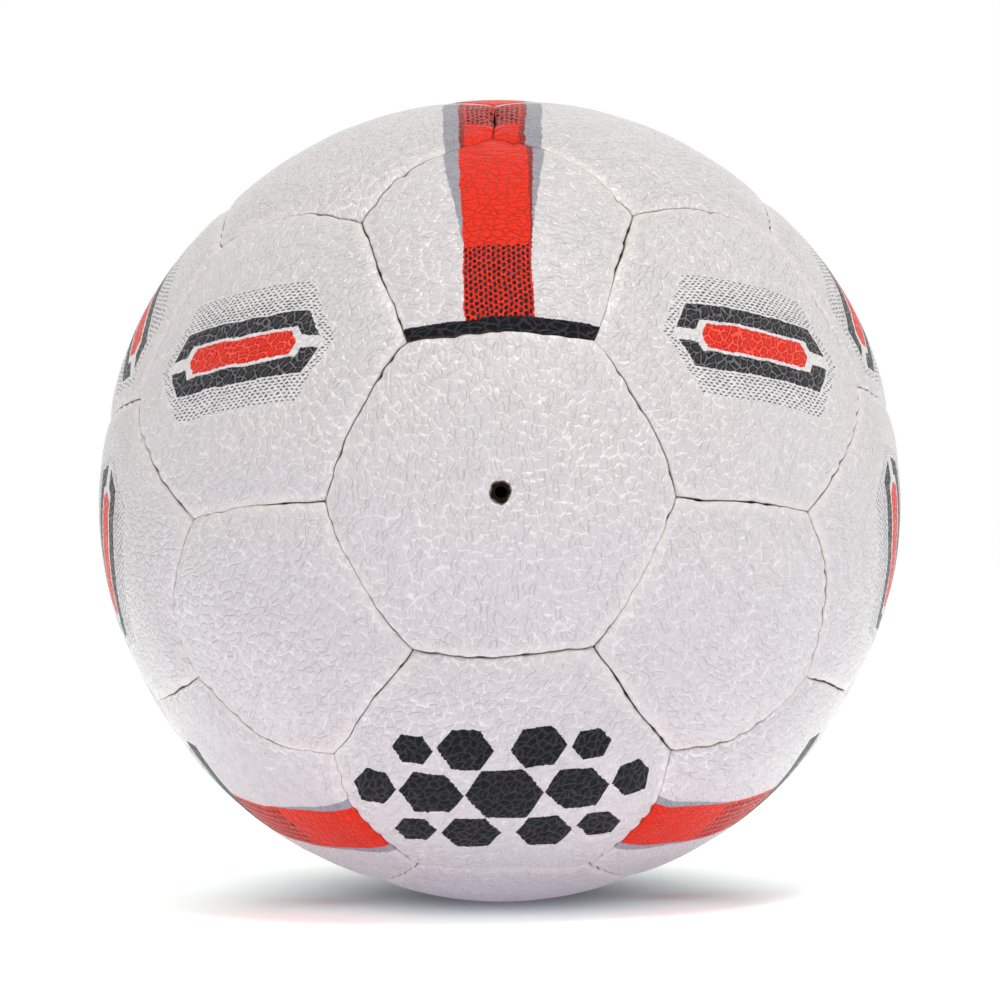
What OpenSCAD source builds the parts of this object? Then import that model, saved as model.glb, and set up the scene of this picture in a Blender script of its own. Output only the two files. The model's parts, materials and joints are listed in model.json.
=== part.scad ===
// A hand-stitched handball: 20 hexagonal and 12 pentagonal panels of grained
// leather, each lined with cloth and turned in at its edges, sewn edge to edge
// over an inflated bladder with a plug valve.
// The origin is the ball's centre. The valve points along -Y, a pentagon sits
// straight above the valve's hexagon, and +Z is up.

/* [Ball] */
// Distance round the inflated ball
ball_girth = 510; // [480:5:600]
// How far each panel crowns above the middle of its edges
panel_crown = 0.5; // [0.3:0.05:1]

/* [Panels] */
// Thickness of the grained outer leather
skin_t = 1.5; // [1.2:0.1:1.8]
// Thickness of the cloth lining behind the leather
lining_t = 1.1; // [0.8:0.1:1.3]
// Layer of glue between leather and lining
bond_gap = 0.05; // [0.03:0.01:0.1]
// Gap between the turned-in edges of two neighbouring panels
seam_gap = 0.2; // [0.1:0.05:0.3]
// Radius of the rolled edge along each seam
edge_roll = 1.7; // [1.4:0.1:2.2]
// How far the turned-in edges reach below the crown
flange_depth = 5.6; // [5.4:0.1:6.5]

/* [Stitching] */
// Stitches along each seam
stitches = 7; // [3:2:7]
// Distance between two stitches of a seam
stitch_pitch = 4; // [3:0.1:4.2]
// Height of the stitches above the turned-in edges' ends
stitch_height = 0.9; // [0.7:0.05:1.1]
// Diameter of the waxed thread where it crosses a seam
thread_d = 0.7; // [0.5:0.05:0.9]
// Clearance round the thread in its holes
thread_clearance = 0.06; // [0.04:0.01:0.1]
// Width of the thread where it lies flat along the lining
thread_run_w = 1; // [0.9:0.05:1.2]
// Thickness of the thread where it lies flat along the lining
thread_run_t = 0.5; // [0.4:0.05:0.7]

/* [Valve] */
// Hole in the leather that the needle goes through
valve_hole_d = 3.6; // [3:0.1:5]
// Diameter of the rubber neck in the lining's hole
valve_neck_d = 8.4; // [8:0.1:10]
// Fit round the neck in the lining and in the bladder
valve_neck_fit = 0.1; // [0.05:0.05:0.3]
// Gap between the neck's top and the leather
valve_top_gap = 0.1; // [0.05:0.05:0.3]
// Diameter of the saddle bonded to the bladder
valve_saddle_d = 26; // [18:1:34]
// Thickness of the saddle
valve_saddle_t = 1.1; // [0.8:0.1:1.5]
// How far the stem reaches into the bladder
valve_stem_l = 16; // [14:1:22]
// Thickness of rubber under the plug's socket
valve_floor_t = 2.2; // [1.6:0.1:3]
// Air hole through the floor of the socket
air_hole_d = 1.6; // [1:0.1:2]
// Diameter of the plug's head
plug_head_d = 6.2; // [5.8:0.1:6.6]
// Thickness of the plug's head
plug_head_t = 1.2; // [1:0.1:1.6]
// Diameter of the plug's shank
plug_shank_d = 4.6; // [4.2:0.1:5]
// Diameter of the ring that holds the plug in its socket
plug_ring_d = 5.6; // [5.2:0.1:6]
// Height of that ring
plug_ring_h = 2; // [1.4:0.1:2.6]
// Height of the ring above the plug's end
plug_ring_up = 3; // [2.5:0.1:4]
// Fit between the plug and its socket
plug_fit = 0.06; // [0.04:0.01:0.1]
// Diameter of the needle's bore in the plug
needle_bore_d = 2.2; // [1.8:0.1:2.4]
// Depth of the needle's bore
needle_bore_l = 10; // [8:0.5:12]

/* [Bladder] */
// Wall of the bladder
bladder_t = 0.9; // [0.6:0.1:1.5]
// Gap between the bladder and what lies on it
bladder_fit = 0.1; // [0.05:0.05:0.3]

/* [Hidden] */
ball_r = ball_girth / (2 * PI);
flange_end_r = ball_r - flange_depth;
stitch_r = flange_end_r + stitch_height;
seam_r = ball_r - panel_crown;
bladder_r = flange_end_r - bladder_fit;
cut_reach = 3 * ball_r;
overrun = skin_t;
// Share of the roll's radius by which it passes over the faces that it blends
roll_dip_share = 0.03;
// Angle that a seam's ring of rolled edge is cut over
roll_sweep = 50;
// Angles of a football's solid, for edges of one: how far the middle of an edge
// lies from the middle of its hexagon and of its pentagon
corner_reach = sqrt(58 + 18 * sqrt(5)) / 4;
hex_tilt = atan(sqrt(3) / 2 / sqrt(pow(corner_reach, 2) - 1));
pent_tilt = atan(1 / (2 * tan(36)) / sqrt(pow(corner_reach, 2) - pow(1 / (2 * sin(36)), 2)));
// Angle round the valve's axis between a hexagon of the first ring and the
// nearest ones of the second
ring_turn = acos(sqrt(5 / 8));
third_turn = 120;
half_turn = 180;
// Two pentagons with this cosine or more between them are neighbours
neighbour_cos_share = 0.4;

leather_white = [0.92, 0.91, 0.9];
lining_cream = [0.87, 0.83, 0.74];
thread_grey = [0.62, 0.6, 0.57];
bladder_black = [0.12, 0.12, 0.13];
valve_black = [0.07, 0.07, 0.08];
plug_brown = [0.28, 0.22, 0.18];

$fa = 4;
$fs = 0.4;

// Places of the panels: angle from the valve's axis, angle round it from the
// top pentagon, and the panel's own turn
function opposite(place) = [half_turn - place[0], place[1] + half_turn, half_turn - place[2]];
HEX_NEAR = concat(
    [[0, 0, 0]],
    [for (k = [0:2]) [2 * hex_tilt, (k + 1 / 2) * third_turn, 0]],
    [for (k = [0:2], side = [-1, 1])
        [acos(1 / 3), (k + 1 / 2) * third_turn + side * ring_turn, side * ring_turn]]
);
HEX_PLACES = concat(HEX_NEAR, [for (place = HEX_NEAR) opposite(place)]);
PENT_NEAR = concat(
    [for (k = [0:2]) [hex_tilt + pent_tilt, k * third_turn, half_turn]],
    [for (k = [0:2]) [3 * hex_tilt + pent_tilt, (k + 1 / 2) * third_turn, half_turn]]
);
PENT_PLACES = concat(PENT_NEAR, [for (place = PENT_NEAR) opposite(place)]);

function numbered(stem, count) = [for (i = [1:count]) str(stem, i < 10 ? "0" : "", i)];
HEX_NODES = numbered("hex_panel_", len(HEX_PLACES) - 1);
PENT_NODES = numbered("pent_panel_", len(PENT_PLACES));

// Angle from a panel's middle to the middle of its edges
function edge_tilt(sides) = sides == 6 ? hex_tilt : pent_tilt;
// Distance from the ball's centre out to the centre of a panel's crown
function crown_shift(sides) = (pow(ball_r, 2) - pow(seam_r, 2))
    / (2 * (ball_r - seam_r * cos(edge_tilt(sides))));
function crown_r(sides) = ball_r - crown_shift(sides);

// Direction of a place, before the ball is turned to its frame
function direction(place) = [
    sin(place[0]) * cos(place[1]),
    sin(place[0]) * sin(place[1]),
    cos(place[0])
];

// Turns what is drawn round the valve's axis as +Z to -Y, the top pentagon above
module valve_forward() {
    rotate([90, 0, 0]) rotate([0, 0, 90]) children();
}

// Puts a panel, drawn round +Z, in its place on the ball
module placed(place) {
    valve_forward() rotate([0, place[0], place[1]]) rotate([0, 0, place[2]]) children();
}

// Frame of one edge of a panel: +Z through the seam, +X across it to the neighbour
module at_edge(sides, k) {
    rotate([0, 0, k * 360 / sides]) rotate([0, edge_tilt(sides), 0]) children();
}

// A sphere whose poles lie off the panels
module smooth_ball(r) {
    rotate([90, 0, 0]) sphere(r = r);
}

// The ball of a panel's crown, at a depth below its surface
module crown_ball(sides, depth) {
    translate([0, 0, crown_shift(sides)]) smooth_ball(crown_r(sides) - depth);
}

// Everything past a panel's edges, moved in from the seams by inset
module past_edges(sides, inset) {
    for (k = [0:sides - 1]) at_edge(sides, k)
        translate([-inset, -cut_reach / 2, -cut_reach / 2]) cube(cut_reach);
}

// The corner that the rolled edge leaves, swept along one seam
module roll_cutter(sides) {
    in_from_seam = seam_gap / 2 + edge_roll * (1 - roll_dip_share);
    crown_side = crown_shift(sides) * sin(edge_tilt(sides)) - in_from_seam;
    from_axis = sqrt(pow(crown_r(sides) - edge_roll * (1 - roll_dip_share), 2) - pow(crown_side, 2));
    translate([0, 0, crown_shift(sides) * cos(edge_tilt(sides))]) rotate([0, -90, 0])
        rotate([0, 0, -roll_sweep / 2]) rotate_extrude(angle = roll_sweep) difference() {
            translate([from_axis, -overrun]) square([edge_roll + overrun, in_from_seam + overrun]);
            translate([from_axis, in_from_seam]) circle(r = edge_roll);
        }
}

// A solid panel with its first edges rolled, one cut after the other
module rolled_block(sides, edges) {
    if (edges == 0) {
        difference() {
            crown_ball(sides, 0);
            smooth_ball(flange_end_r);
            past_edges(sides, seam_gap / 2);
        }
    } else {
        difference() {
            rolled_block(sides, edges - 1);
            at_edge(sides, edges - 1) roll_cutter(sides);
        }
    }
}

// The space inside a panel's turned-in edges
module pocket(sides, depth) {
    difference() {
        crown_ball(sides, depth);
        past_edges(sides, seam_gap / 2 + depth);
    }
}

// Places of one seam's stitches, each with +Z out through it
module each_stitch() {
    for (k = [0:stitches - 1])
        rotate([(k - (stitches - 1) / 2) * stitch_pitch / stitch_r * half_turn / PI, 0, 0]) children();
}

module stitch_holes(sides) {
    sheet = skin_t + bond_gap + lining_t + seam_gap / 2 + overrun;
    for (k = [0:sides - 1]) at_edge(sides, k) each_stitch()
        translate([-sheet, 0, stitch_r]) rotate([0, 90, 0])
            cylinder(d = thread_d + 2 * thread_clearance, h = sheet + overrun);
}

module panel(sides) {
    difference() {
        rolled_block(sides, sides);
        pocket(sides, skin_t);
        stitch_holes(sides);
    }
}

module lining(sides) {
    top = skin_t + bond_gap;
    difference() {
        pocket(sides, top);
        smooth_ball(flange_end_r);
        pocket(sides, top + lining_t);
        stitch_holes(sides);
    }
}

module hex_panel(place) {
    color(leather_white) placed(place) panel(6);
}

module pent_panel(place) {
    color(leather_white) placed(place) panel(5);
}

module valve_panel() {
    color(leather_white) placed(HEX_PLACES[0]) difference() {
        panel(6);
        translate([0, 0, flange_end_r]) cylinder(d = valve_hole_d, h = flange_depth + overrun);
    }
}

module valve_lining() {
    color(lining_cream) placed(HEX_PLACES[0]) difference() {
        lining(6);
        translate([0, 0, flange_end_r])
            cylinder(d = valve_neck_d + 2 * valve_neck_fit, h = flange_depth + overrun);
    }
}

module hex_linings() {
    color(lining_cream) for (i = [1:len(HEX_PLACES) - 1]) placed(HEX_PLACES[i]) lining(6);
}

module pent_linings() {
    color(lining_cream) for (place = PENT_PLACES) placed(place) lining(5);
}

// One seam's waxed thread: a flat run along each lining, joined by the stitches
module seam_thread() {
    run_side = seam_gap / 2 + skin_t + bond_gap + lining_t + bond_gap;
    run_sweep = ((stitches - 1) * stitch_pitch + thread_run_w) / stitch_r * half_turn / PI;
    for (side = [0, 1]) mirror([side, 0, 0]) rotate([0, -90, 0]) rotate([0, 0, -run_sweep / 2])
        rotate_extrude(angle = run_sweep)
            translate([stitch_r - thread_run_w / 2, run_side]) square([thread_run_w, thread_run_t]);
    each_stitch() translate([-run_side - thread_run_t / 2, 0, stitch_r]) rotate([0, 90, 0])
        cylinder(d = thread_d, h = 2 * run_side + thread_run_t);
}

// Frame of the seam that crosses the line between two neighbouring pentagons
module between(a, b) {
    out = (a + b) / norm(a + b);
    across = cross(a, b) / norm(cross(a, b));
    along = cross(out, across);
    multmatrix([
        [across[0], along[0], out[0], 0],
        [across[1], along[1], out[1], 0],
        [across[2], along[2], out[2], 0],
        [0, 0, 0, 1]
    ]) children();
}

module hex_seam_threads() {
    middles = [for (place = PENT_PLACES) direction(place)];
    color(thread_grey) valve_forward() for (i = [0:len(middles) - 2], j = [i + 1:len(middles) - 1])
        if (middles[i] * middles[j] > neighbour_cos_share) between(middles[i], middles[j]) seam_thread();
}

module pent_seam_threads() {
    color(thread_grey) for (place = PENT_PLACES, k = [0:4]) placed(place) at_edge(5, k) seam_thread();
}

module bladder() {
    color(bladder_black) valve_forward() difference() {
        smooth_ball(bladder_r);
        smooth_ball(bladder_r - bladder_t);
        cylinder(d = valve_neck_d + 2 * valve_neck_fit, h = ball_r);
    }
}

// Heights of the valve, measured out from the ball's centre. The neck's rim is
// the first to meet the curved leather.
valve_top = crown_shift(6) - valve_top_gap
    + sqrt(pow(crown_r(6) - skin_t, 2) - pow(valve_neck_d / 2, 2));
valve_end = bladder_r - valve_stem_l;
plug_end = valve_end + valve_floor_t;

// Outline of the plug from its head to its end, widened by fit for its socket
module plug_outline(fit, top) {
    head_h = plug_head_t + fit;
    translate([0, plug_end]) square([plug_shank_d / 2 + fit, top - plug_end]);
    translate([0, plug_end + plug_ring_up - fit])
        square([plug_ring_d / 2 + fit, plug_ring_h + 2 * fit]);
    translate([0, valve_top - head_h]) square([plug_head_d / 2 + fit, top - valve_top + head_h]);
}

module valve_body() {
    color(valve_black) valve_forward() rotate_extrude() difference() {
        union() {
            translate([0, valve_end + valve_neck_d / 2])
                square([valve_neck_d / 2, valve_top - valve_end - valve_neck_d / 2]);
            intersection() {
                translate([0, valve_end + valve_neck_d / 2]) circle(d = valve_neck_d);
                translate([0, valve_end]) square(valve_neck_d);
            }
            intersection() {
                difference() {
                    circle(r = bladder_r + bladder_fit / 2 + valve_saddle_t);
                    circle(r = bladder_r + bladder_fit / 2);
                }
                square([valve_saddle_d / 2, ball_r]);
            }
        }
        plug_outline(plug_fit, valve_top + overrun);
        translate([0, valve_end - overrun]) square([air_hole_d / 2, valve_floor_t + 2 * overrun]);
    }
}

module valve_plug() {
    color(plug_brown) valve_forward() difference() {
        rotate_extrude() plug_outline(0, valve_top);
        translate([0, 0, valve_top - needle_bore_l]) cylinder(d = needle_bore_d, h = needle_bore_l + overrun);
    }
}

valve_panel();
for (i = [0:len(HEX_NODES) - 1])
    hex_panel(HEX_PLACES[i + 1]);
for (i = [0:len(PENT_NODES) - 1])
    pent_panel(PENT_PLACES[i]);
valve_lining();
hex_linings();
pent_linings();
hex_seam_threads();
pent_seam_threads();
bladder();
valve_body();
valve_plug();
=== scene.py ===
"""Looks of a hand-stitched handball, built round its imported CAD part.

Lengths of the ball are in millimetres here and become metres when a mesh is written.
"""

import json
import logging
import math
from dataclasses import dataclass, field
from enum import Enum, IntEnum

import bmesh
import bpy
import numpy as np
from mathutils import Matrix, Vector

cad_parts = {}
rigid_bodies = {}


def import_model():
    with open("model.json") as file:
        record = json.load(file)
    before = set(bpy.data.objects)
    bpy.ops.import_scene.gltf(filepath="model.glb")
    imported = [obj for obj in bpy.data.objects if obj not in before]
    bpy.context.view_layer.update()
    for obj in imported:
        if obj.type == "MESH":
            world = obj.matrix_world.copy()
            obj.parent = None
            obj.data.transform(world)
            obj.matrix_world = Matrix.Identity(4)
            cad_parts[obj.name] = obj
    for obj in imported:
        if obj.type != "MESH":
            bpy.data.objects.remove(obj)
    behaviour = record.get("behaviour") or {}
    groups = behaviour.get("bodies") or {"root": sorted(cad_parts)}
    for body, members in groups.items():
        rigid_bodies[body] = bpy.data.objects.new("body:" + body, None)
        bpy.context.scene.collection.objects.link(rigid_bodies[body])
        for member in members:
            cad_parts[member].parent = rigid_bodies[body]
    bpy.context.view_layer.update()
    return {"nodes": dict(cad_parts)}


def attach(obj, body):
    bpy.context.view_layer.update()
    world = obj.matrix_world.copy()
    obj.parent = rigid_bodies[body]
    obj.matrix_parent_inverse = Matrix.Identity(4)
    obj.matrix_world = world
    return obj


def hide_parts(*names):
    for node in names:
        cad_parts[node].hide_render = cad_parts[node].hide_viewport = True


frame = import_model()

BODY = "root"
METRE = 0.001
LOG = logging.getLogger("handball")
Pair = tuple[float, float]
Triple = tuple[float, float, float]


# Sizes and places of the ball's panels


@dataclass(frozen=True)
class BallSizes:
    """Sizes of the ball in millimetres: its CAD part's, with the seams drawn tight.

    Attributes:
        girth: Distance round the ball.
        crown: How far a panel crowns above the middle of its edges.
        skin: Thickness of the leather.
        seam_gap: Gap between the turned-in edges of two panels.
        edge_zone: Width of the fine rings beside a seam.
        flange_depth: How far the turned-in edges reach inward.
        stitches: Stitches along a seam.
        stitch_pitch: Distance between two stitches.
        valve_hole: Diameter of the valve's hole.
    """

    girth: float = 510.0
    crown: float = 0.5
    skin: float = 1.5
    seam_gap: float = 0.06
    edge_zone: float = 1.7
    flange_depth: float = 5.6
    stitches: int = 7
    stitch_pitch: float = 4.0
    valve_hole: float = 3.6

    @property
    def radius(self) -> float:
        """Radius of the ball at the top of its panels."""
        return self.girth / (2 * math.pi)

    @property
    def flange_end(self) -> float:
        """Distance from the centre to the ends of the turned-in edges."""
        return self.radius - self.flange_depth


SIZES = BallSizes()


def ball_angles() -> Triple:
    """Angles of the solid that the panels make.

    Returns:
        The angle from the middle of a hexagon to the middle of its edges, the
        same for a pentagon, and the turn between the first and second ring.
    """
    reach = math.sqrt(58 + 18 * math.sqrt(5)) / 4
    hexagon = math.atan(math.sqrt(3) / 2 / math.sqrt(reach**2 - 1))
    half_side = 1 / (2 * math.sin(math.radians(36)))
    apothem = 1 / (2 * math.tan(math.radians(36)))
    pentagon = math.atan(apothem / math.sqrt(reach**2 - half_side**2))
    return math.degrees(hexagon), math.degrees(pentagon), math.degrees(math.acos(math.sqrt(5 / 8)))


HEX_TILT, PENT_TILT, RING_TURN = ball_angles()


@dataclass(frozen=True)
class Place:
    """Where a panel lies, seen from the valve's axis.

    Attributes:
        polar: Angle from the valve's axis.
        azimuth: Angle round it from the top, through the left.
        twist: The panel's own turn.
    """

    polar: float
    azimuth: float
    twist: float = 0.0

    def opposite(self) -> "Place":
        """Returns the place on the far side of the ball."""
        return Place(180 - self.polar, self.azimuth + 180, 180 - self.twist)

    def matrix(self) -> np.ndarray:
        """Works out the turn from the panel's own axes to the ball's.

        Returns:
            The turn, as a 3 by 3 matrix.
        """
        turns = (
            Matrix.Rotation(math.radians(90), 3, "X"),
            Matrix.Rotation(math.radians(90), 3, "Z"),
            Matrix.Rotation(math.radians(self.azimuth), 3, "Z"),
            Matrix.Rotation(math.radians(self.polar), 3, "Y"),
            Matrix.Rotation(math.radians(self.twist), 3, "Z"),
        )
        whole = Matrix.Identity(3)
        for turn in turns:
            whole = whole @ turn
        return np.array(whole, float)

    def direction(self) -> np.ndarray:
        """Returns the unit vector from the ball's centre to this place."""
        return self.matrix() @ np.array([0.0, 0.0, 1.0])


def hexagon_places() -> list[Place]:
    """Lists the places of the twenty hexagons.

    Returns:
        The places, the valve's first and the far half last.
    """
    near = [Place(0, 0)]
    near += [Place(2 * HEX_TILT, (k + 0.5) * 120) for k in range(3)]
    polar = math.degrees(math.acos(1 / 3))
    near += [
        Place(polar, (k + 0.5) * 120 + side * RING_TURN, side * RING_TURN)
        for k in range(3)
        for side in (-1, 1)
    ]
    return near + [place.opposite() for place in near]


def pentagon_places() -> list[Place]:
    """Lists the places of the twelve pentagons.

    Returns:
        The places, the top one first and the far half last.
    """
    near = [Place(HEX_TILT + PENT_TILT, k * 120, 180) for k in range(3)]
    near += [Place(3 * HEX_TILT + PENT_TILT, (k + 0.5) * 120, 180) for k in range(3)]
    return near + [place.opposite() for place in near]


def smoothstep(low: float, high: float, values: np.ndarray) -> np.ndarray:
    """Returns 0 below low, 1 above high and a smooth rise between; high may be the lower."""
    share = np.clip((values - low) / (high - low), 0, 1)
    return share * share * (3 - 2 * share)


def fading(distance: np.ndarray, depth: float, reach: float) -> np.ndarray:
    """Returns a depth that fades smoothly with the distance from its middle."""
    return depth * np.exp(-((distance / reach) ** 2))


class Waves:
    """A smooth irregular field in space, made of plane waves of about one length."""

    def __init__(self, length: float, seed: int, count: int = 28) -> None:
        """Draws the waves.

        Args:
            length: Typical wavelength in millimetres.
            seed: Seed of the draw, so that each run gives the same field.
            count: Number of waves.
        """
        draw = np.random.default_rng(seed)
        heading = draw.normal(size=(count, 3))
        heading /= np.linalg.norm(heading, axis=1)[:, None]
        spread = draw.uniform(0.7, 1.4, count)
        self.steps = heading * (2 * np.pi / length * spread)[:, None]
        self.phases = draw.uniform(0, 2 * np.pi, count)
        self.scale = math.sqrt(2 / count)

    def at(self, points: np.ndarray) -> np.ndarray:
        """Returns the field at some points, with a spread of about one."""
        return np.cos(points @ self.steps.T + self.phases).sum(1) * self.scale


# How far the hand sewing has drawn corners and seams from their regular places:
# angle from the valve, angle round it, then the shift to the right, back and up
SEAM_SHIFTS = (
    (23.80, 30.00, -0.8, 0.2, 0.1),
    (23.80, 330.00, 1.2, 0.5, -0.3),
    (23.80, 90.00, 0.1, -0.0, -1.0),
    (23.80, 270.00, -0.1, -0.1, -1.1),
    (23.80, 150.00, -0.4, 0.3, -0.6),
    (23.80, 210.00, 0.3, 0.2, -0.3),
    (47.00, 26.51, 0.4, -0.8, -0.6),
    (47.00, 333.49, -0.5, -0.3, -0.1),
    (57.45, 0.00, -0.4, 1.6, 1.0),
    (47.00, 93.49, 0.5, -0.6, 0.1),
    (57.45, 120.00, 0.2, -0.1, -0.2),
    (47.00, 146.51, 0.2, -0.6, 0.5),
    (47.00, 266.51, -0.6, -0.6, -0.4),
    (57.45, 240.00, -0.2, 1.0, -1.6),
    (47.00, 213.49, -0.8, -0.5, 0.1),
    (63.32, 166.95, -0.6, 2.7, -1.3),
    (63.32, 193.05, 0.0, 3.7, -1.9),
    (63.32, 46.95, -1.5, 2.6, 0.3),
    (63.32, 313.05, 1.1, 2.7, 0.9),
    (63.32, 73.05, -1.3, 1.8, -1.0),
    (63.32, 286.95, 1.5, 2.8, -0.1),
    (21.34, 347.89, 0.0, 0.1, 0.3),
    (21.34, 12.11, -0.1, 0.1, 0.3),
    (21.34, 47.89, -1.0, 0.4, 0.6),
    (21.34, 72.11, -0.6, 0.2, 0.2),
    (21.34, 107.89, -1.2, 0.6, -0.9),
    (21.34, 132.11, -1.3, 0.6, -0.9),
    (21.34, 167.89, 0.1, 0.6, -1.6),
    (21.34, 192.11, 0.1, 0.2, -0.6),
    (21.34, 227.89, 1.0, 0.5, -0.7),
    (21.34, 252.11, 0.7, 0.3, -0.4),
    (21.34, 287.89, 0.9, 0.4, 0.3),
    (21.34, 312.11, 1.0, 0.4, 0.5),
    (53.58, 7.46, -0.3, 2.2, 1.6),
    (49.59, 17.42, -1.0, 1.9, 1.4),
    (49.59, 342.58, 0.6, 1.5, 1.2),
    (53.58, 352.54, 0.3, 2.6, 1.9),
    (51.70, 33.82, -0.2, 1.8, 1.6),
    (57.89, 41.41, -0.8, 2.3, 1.2),
    (57.89, 318.59, 1.0, 3.0, 1.6),
    (51.70, 326.18, 0.1, 2.0, 1.8),
    (57.89, 78.59, -2.3, 3.7, 0.1),
    (51.70, 86.18, -1.2, 1.5, -0.5),
    (49.59, 102.58, -1.5, 1.7, 0.3),
    (53.58, 112.54, -2.4, 3.4, -0.6),
    (53.58, 127.46, -0.6, 1.2, -0.6),
    (49.59, 137.42, -1.0, 2.3, -1.7),
    (51.70, 153.82, -1.5, 2.4, -1.3),
    (57.89, 161.41, -1.0, 2.7, -1.5),
    (57.89, 198.59, 1.3, 3.2, -1.7),
    (51.70, 206.18, 1.3, 2.4, -1.4),
    (49.59, 222.58, 1.0, 2.6, -2.1),
    (53.58, 232.54, 1.4, 2.7, -1.5),
    (53.58, 247.46, 1.0, 1.3, -0.2),
    (49.59, 257.42, 1.2, 1.3, 0.3),
    (51.70, 273.82, 1.0, 1.2, -0.6),
    (57.89, 281.41, 2.0, 3.1, -0.2),
    (35.39, 27.75, -0.1, -0.0, -0.1),
    (35.39, 332.25, 0.4, 0.2, 0.1),
    (35.39, 92.25, -0.2, 0.1, -0.0),
    (35.39, 267.75, -0.1, -0.1, -0.6),
    (35.39, 147.75, -0.1, -0.0, 0.1),
    (35.39, 212.25, -0.5, 0.0, -0.4),
    (80.73, 0.00, 0.0, -5.2, -1.0),
    (87.53, 9.62, 0.0, -4.5, 0.0),
    (87.53, 350.38, 0.0, -4.5, 0.0),
)


@dataclass
class SeamDrift:
    """Moves points along the ball as hand sewing draws its seams from the regular net.

    Attributes:
        reach: Distance over which a listed place's pull fades, in millimetres.
        stray: Size and wavelength of a slow irregular shift.
        wander: The same of a quick one.
    """

    reach: float = 10.0
    stray: Pair = (0.12, 17)
    wander: Pair = (0.07, 5.5)

    def __post_init__(self) -> None:
        """Solves for the pulls that give each listed place its shift."""
        self.listed = np.array([Place(p, a).direction() for p, a, *_ in SEAM_SHIFTS])
        wanted = np.array([shift for _, _, *shift in SEAM_SHIFTS], float)
        self.pulls = np.linalg.solve(self._share(self.listed), wanted)
        self.strays = [Waves(self.stray[1], seed) for seed in (11, 12, 13)]
        self.wanders = [Waves(self.wander[1], seed) for seed in (21, 22, 23)]

    def _share(self, directions: np.ndarray) -> np.ndarray:
        """Returns how much of each listed place's pull some directions feel."""
        apart = np.arccos(np.clip(directions @ self.listed.T, -1, 1)) * SIZES.radius
        return fading(apart, 1, self.reach)

    def moved(self, points: np.ndarray) -> np.ndarray:
        """Moves points with the drift.

        Args:
            points: Points in the ball's frame.

        Returns:
            The points after it, each still at its own distance from the centre.
        """
        out = np.linalg.norm(points, axis=1)[:, None]
        directions = points / out
        shift = self._share(directions) @ self.pulls
        on_ball = directions * SIZES.radius
        shift += self.stray[0] * np.stack([waves.at(on_ball) for waves in self.strays], 1)
        shift += self.wander[0] * np.stack([waves.at(on_ball) for waves in self.wanders], 1)
        shift -= directions * (shift * directions).sum(1)[:, None]
        turned = on_ball + shift
        return turned / np.linalg.norm(turned, axis=1)[:, None] * out


# The panels' meshes


class Layer(IntEnum):
    """Numbers of the rings that close a panel behind its grained face."""

    FACE = 0
    WALL_END = 1
    INNER_END = 2
    INNER_TOP = 3
    BACK_RIM = 4
    BACK_RING = 5
    BACK_MIDDLE = 6
    HOLE_END = 9


BACK = (Layer.BACK_RIM, Layer.BACK_RING, Layer.BACK_MIDDLE)
# Share of half an edge at which its corner's rounding ends
CORNER_SHARE = 0.985
# Distance in millimetres over which two seams' rolls run into one another
CORNER_SOFTNESS = 0.45


@dataclass(frozen=True)
class SeamForm:
    """How a panel's face falls and parts along its seams, in millimetres.

    Attributes:
        roll_tight: Radius of the rolled edge where the seam is pulled shut.
        roll_open: The same where it is open.
        edge_dips: Depth and reach of the falls beside a seam.
        corner_dips: The same round a corner.
        stitch_dips: The same of a stitch's pull, across the seam.
        stitch_reach: Reach of a stitch's pull along the seam.
        gape: How far an open seam parts.
        stitch_gape: How much further it parts at a stitch.
        gape_reach: Reach of that along the seam.
        gape_depth: How far inward the parting is felt.
        corner_round: Radius of a corner.
        slit_at: Where the seam above the top pentagon is split.
        slit_reach: Reach of the split.
        slit_gape: How far it parts.
        slit_dip: Depth and reach of its fall.
        ripple: Height of the face's slow waves.
        ripple_from: Distance from the seam over which they rise to it.
        opening: Values of its field between which a seam opens.
        gaping: Values of its field between which a seam gapes.
        pull: Strength of the stitches' pull, and how much its field adds.
        pull_limits: The least and the most of it.
        fields: Wavelength and seed of the irregular fields of the pull, the
            gape, the ripple and the opening.
    """

    roll_tight: float = 0.15
    roll_open: float = 0.5
    edge_dips: tuple[Pair, ...] = ((0.24, 1.3), (0.16, 3.6))
    corner_dips: tuple[Pair, ...] = ((0.26, 2.4), (0.18, 6.5))
    stitch_dips: tuple[Pair, ...] = ((0.26, 1.1), (0.09, 3.0))
    stitch_reach: float = 0.9
    gape: float = 0.05
    stitch_gape: float = 0.12
    gape_reach: float = 0.8
    gape_depth: float = 4.0
    corner_round: float = 1.3
    slit_at: Place = Place(67.0, 0.0)
    slit_reach: float = 5.0
    slit_gape: float = 0.20
    slit_dip: Pair = (0.7, 1.8)
    ripple: float = 0.05
    ripple_from: float = 3.0
    opening: Pair = (-1.0, 0.5)
    gaping: Pair = (-0.9, 0.7)
    pull: Pair = (0.7, 0.45)
    pull_limits: Pair = (0.1, 1.6)
    fields: tuple[tuple[float, int], ...] = ((9, 31), (7, 32), (13, 33), (30, 34))


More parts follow.
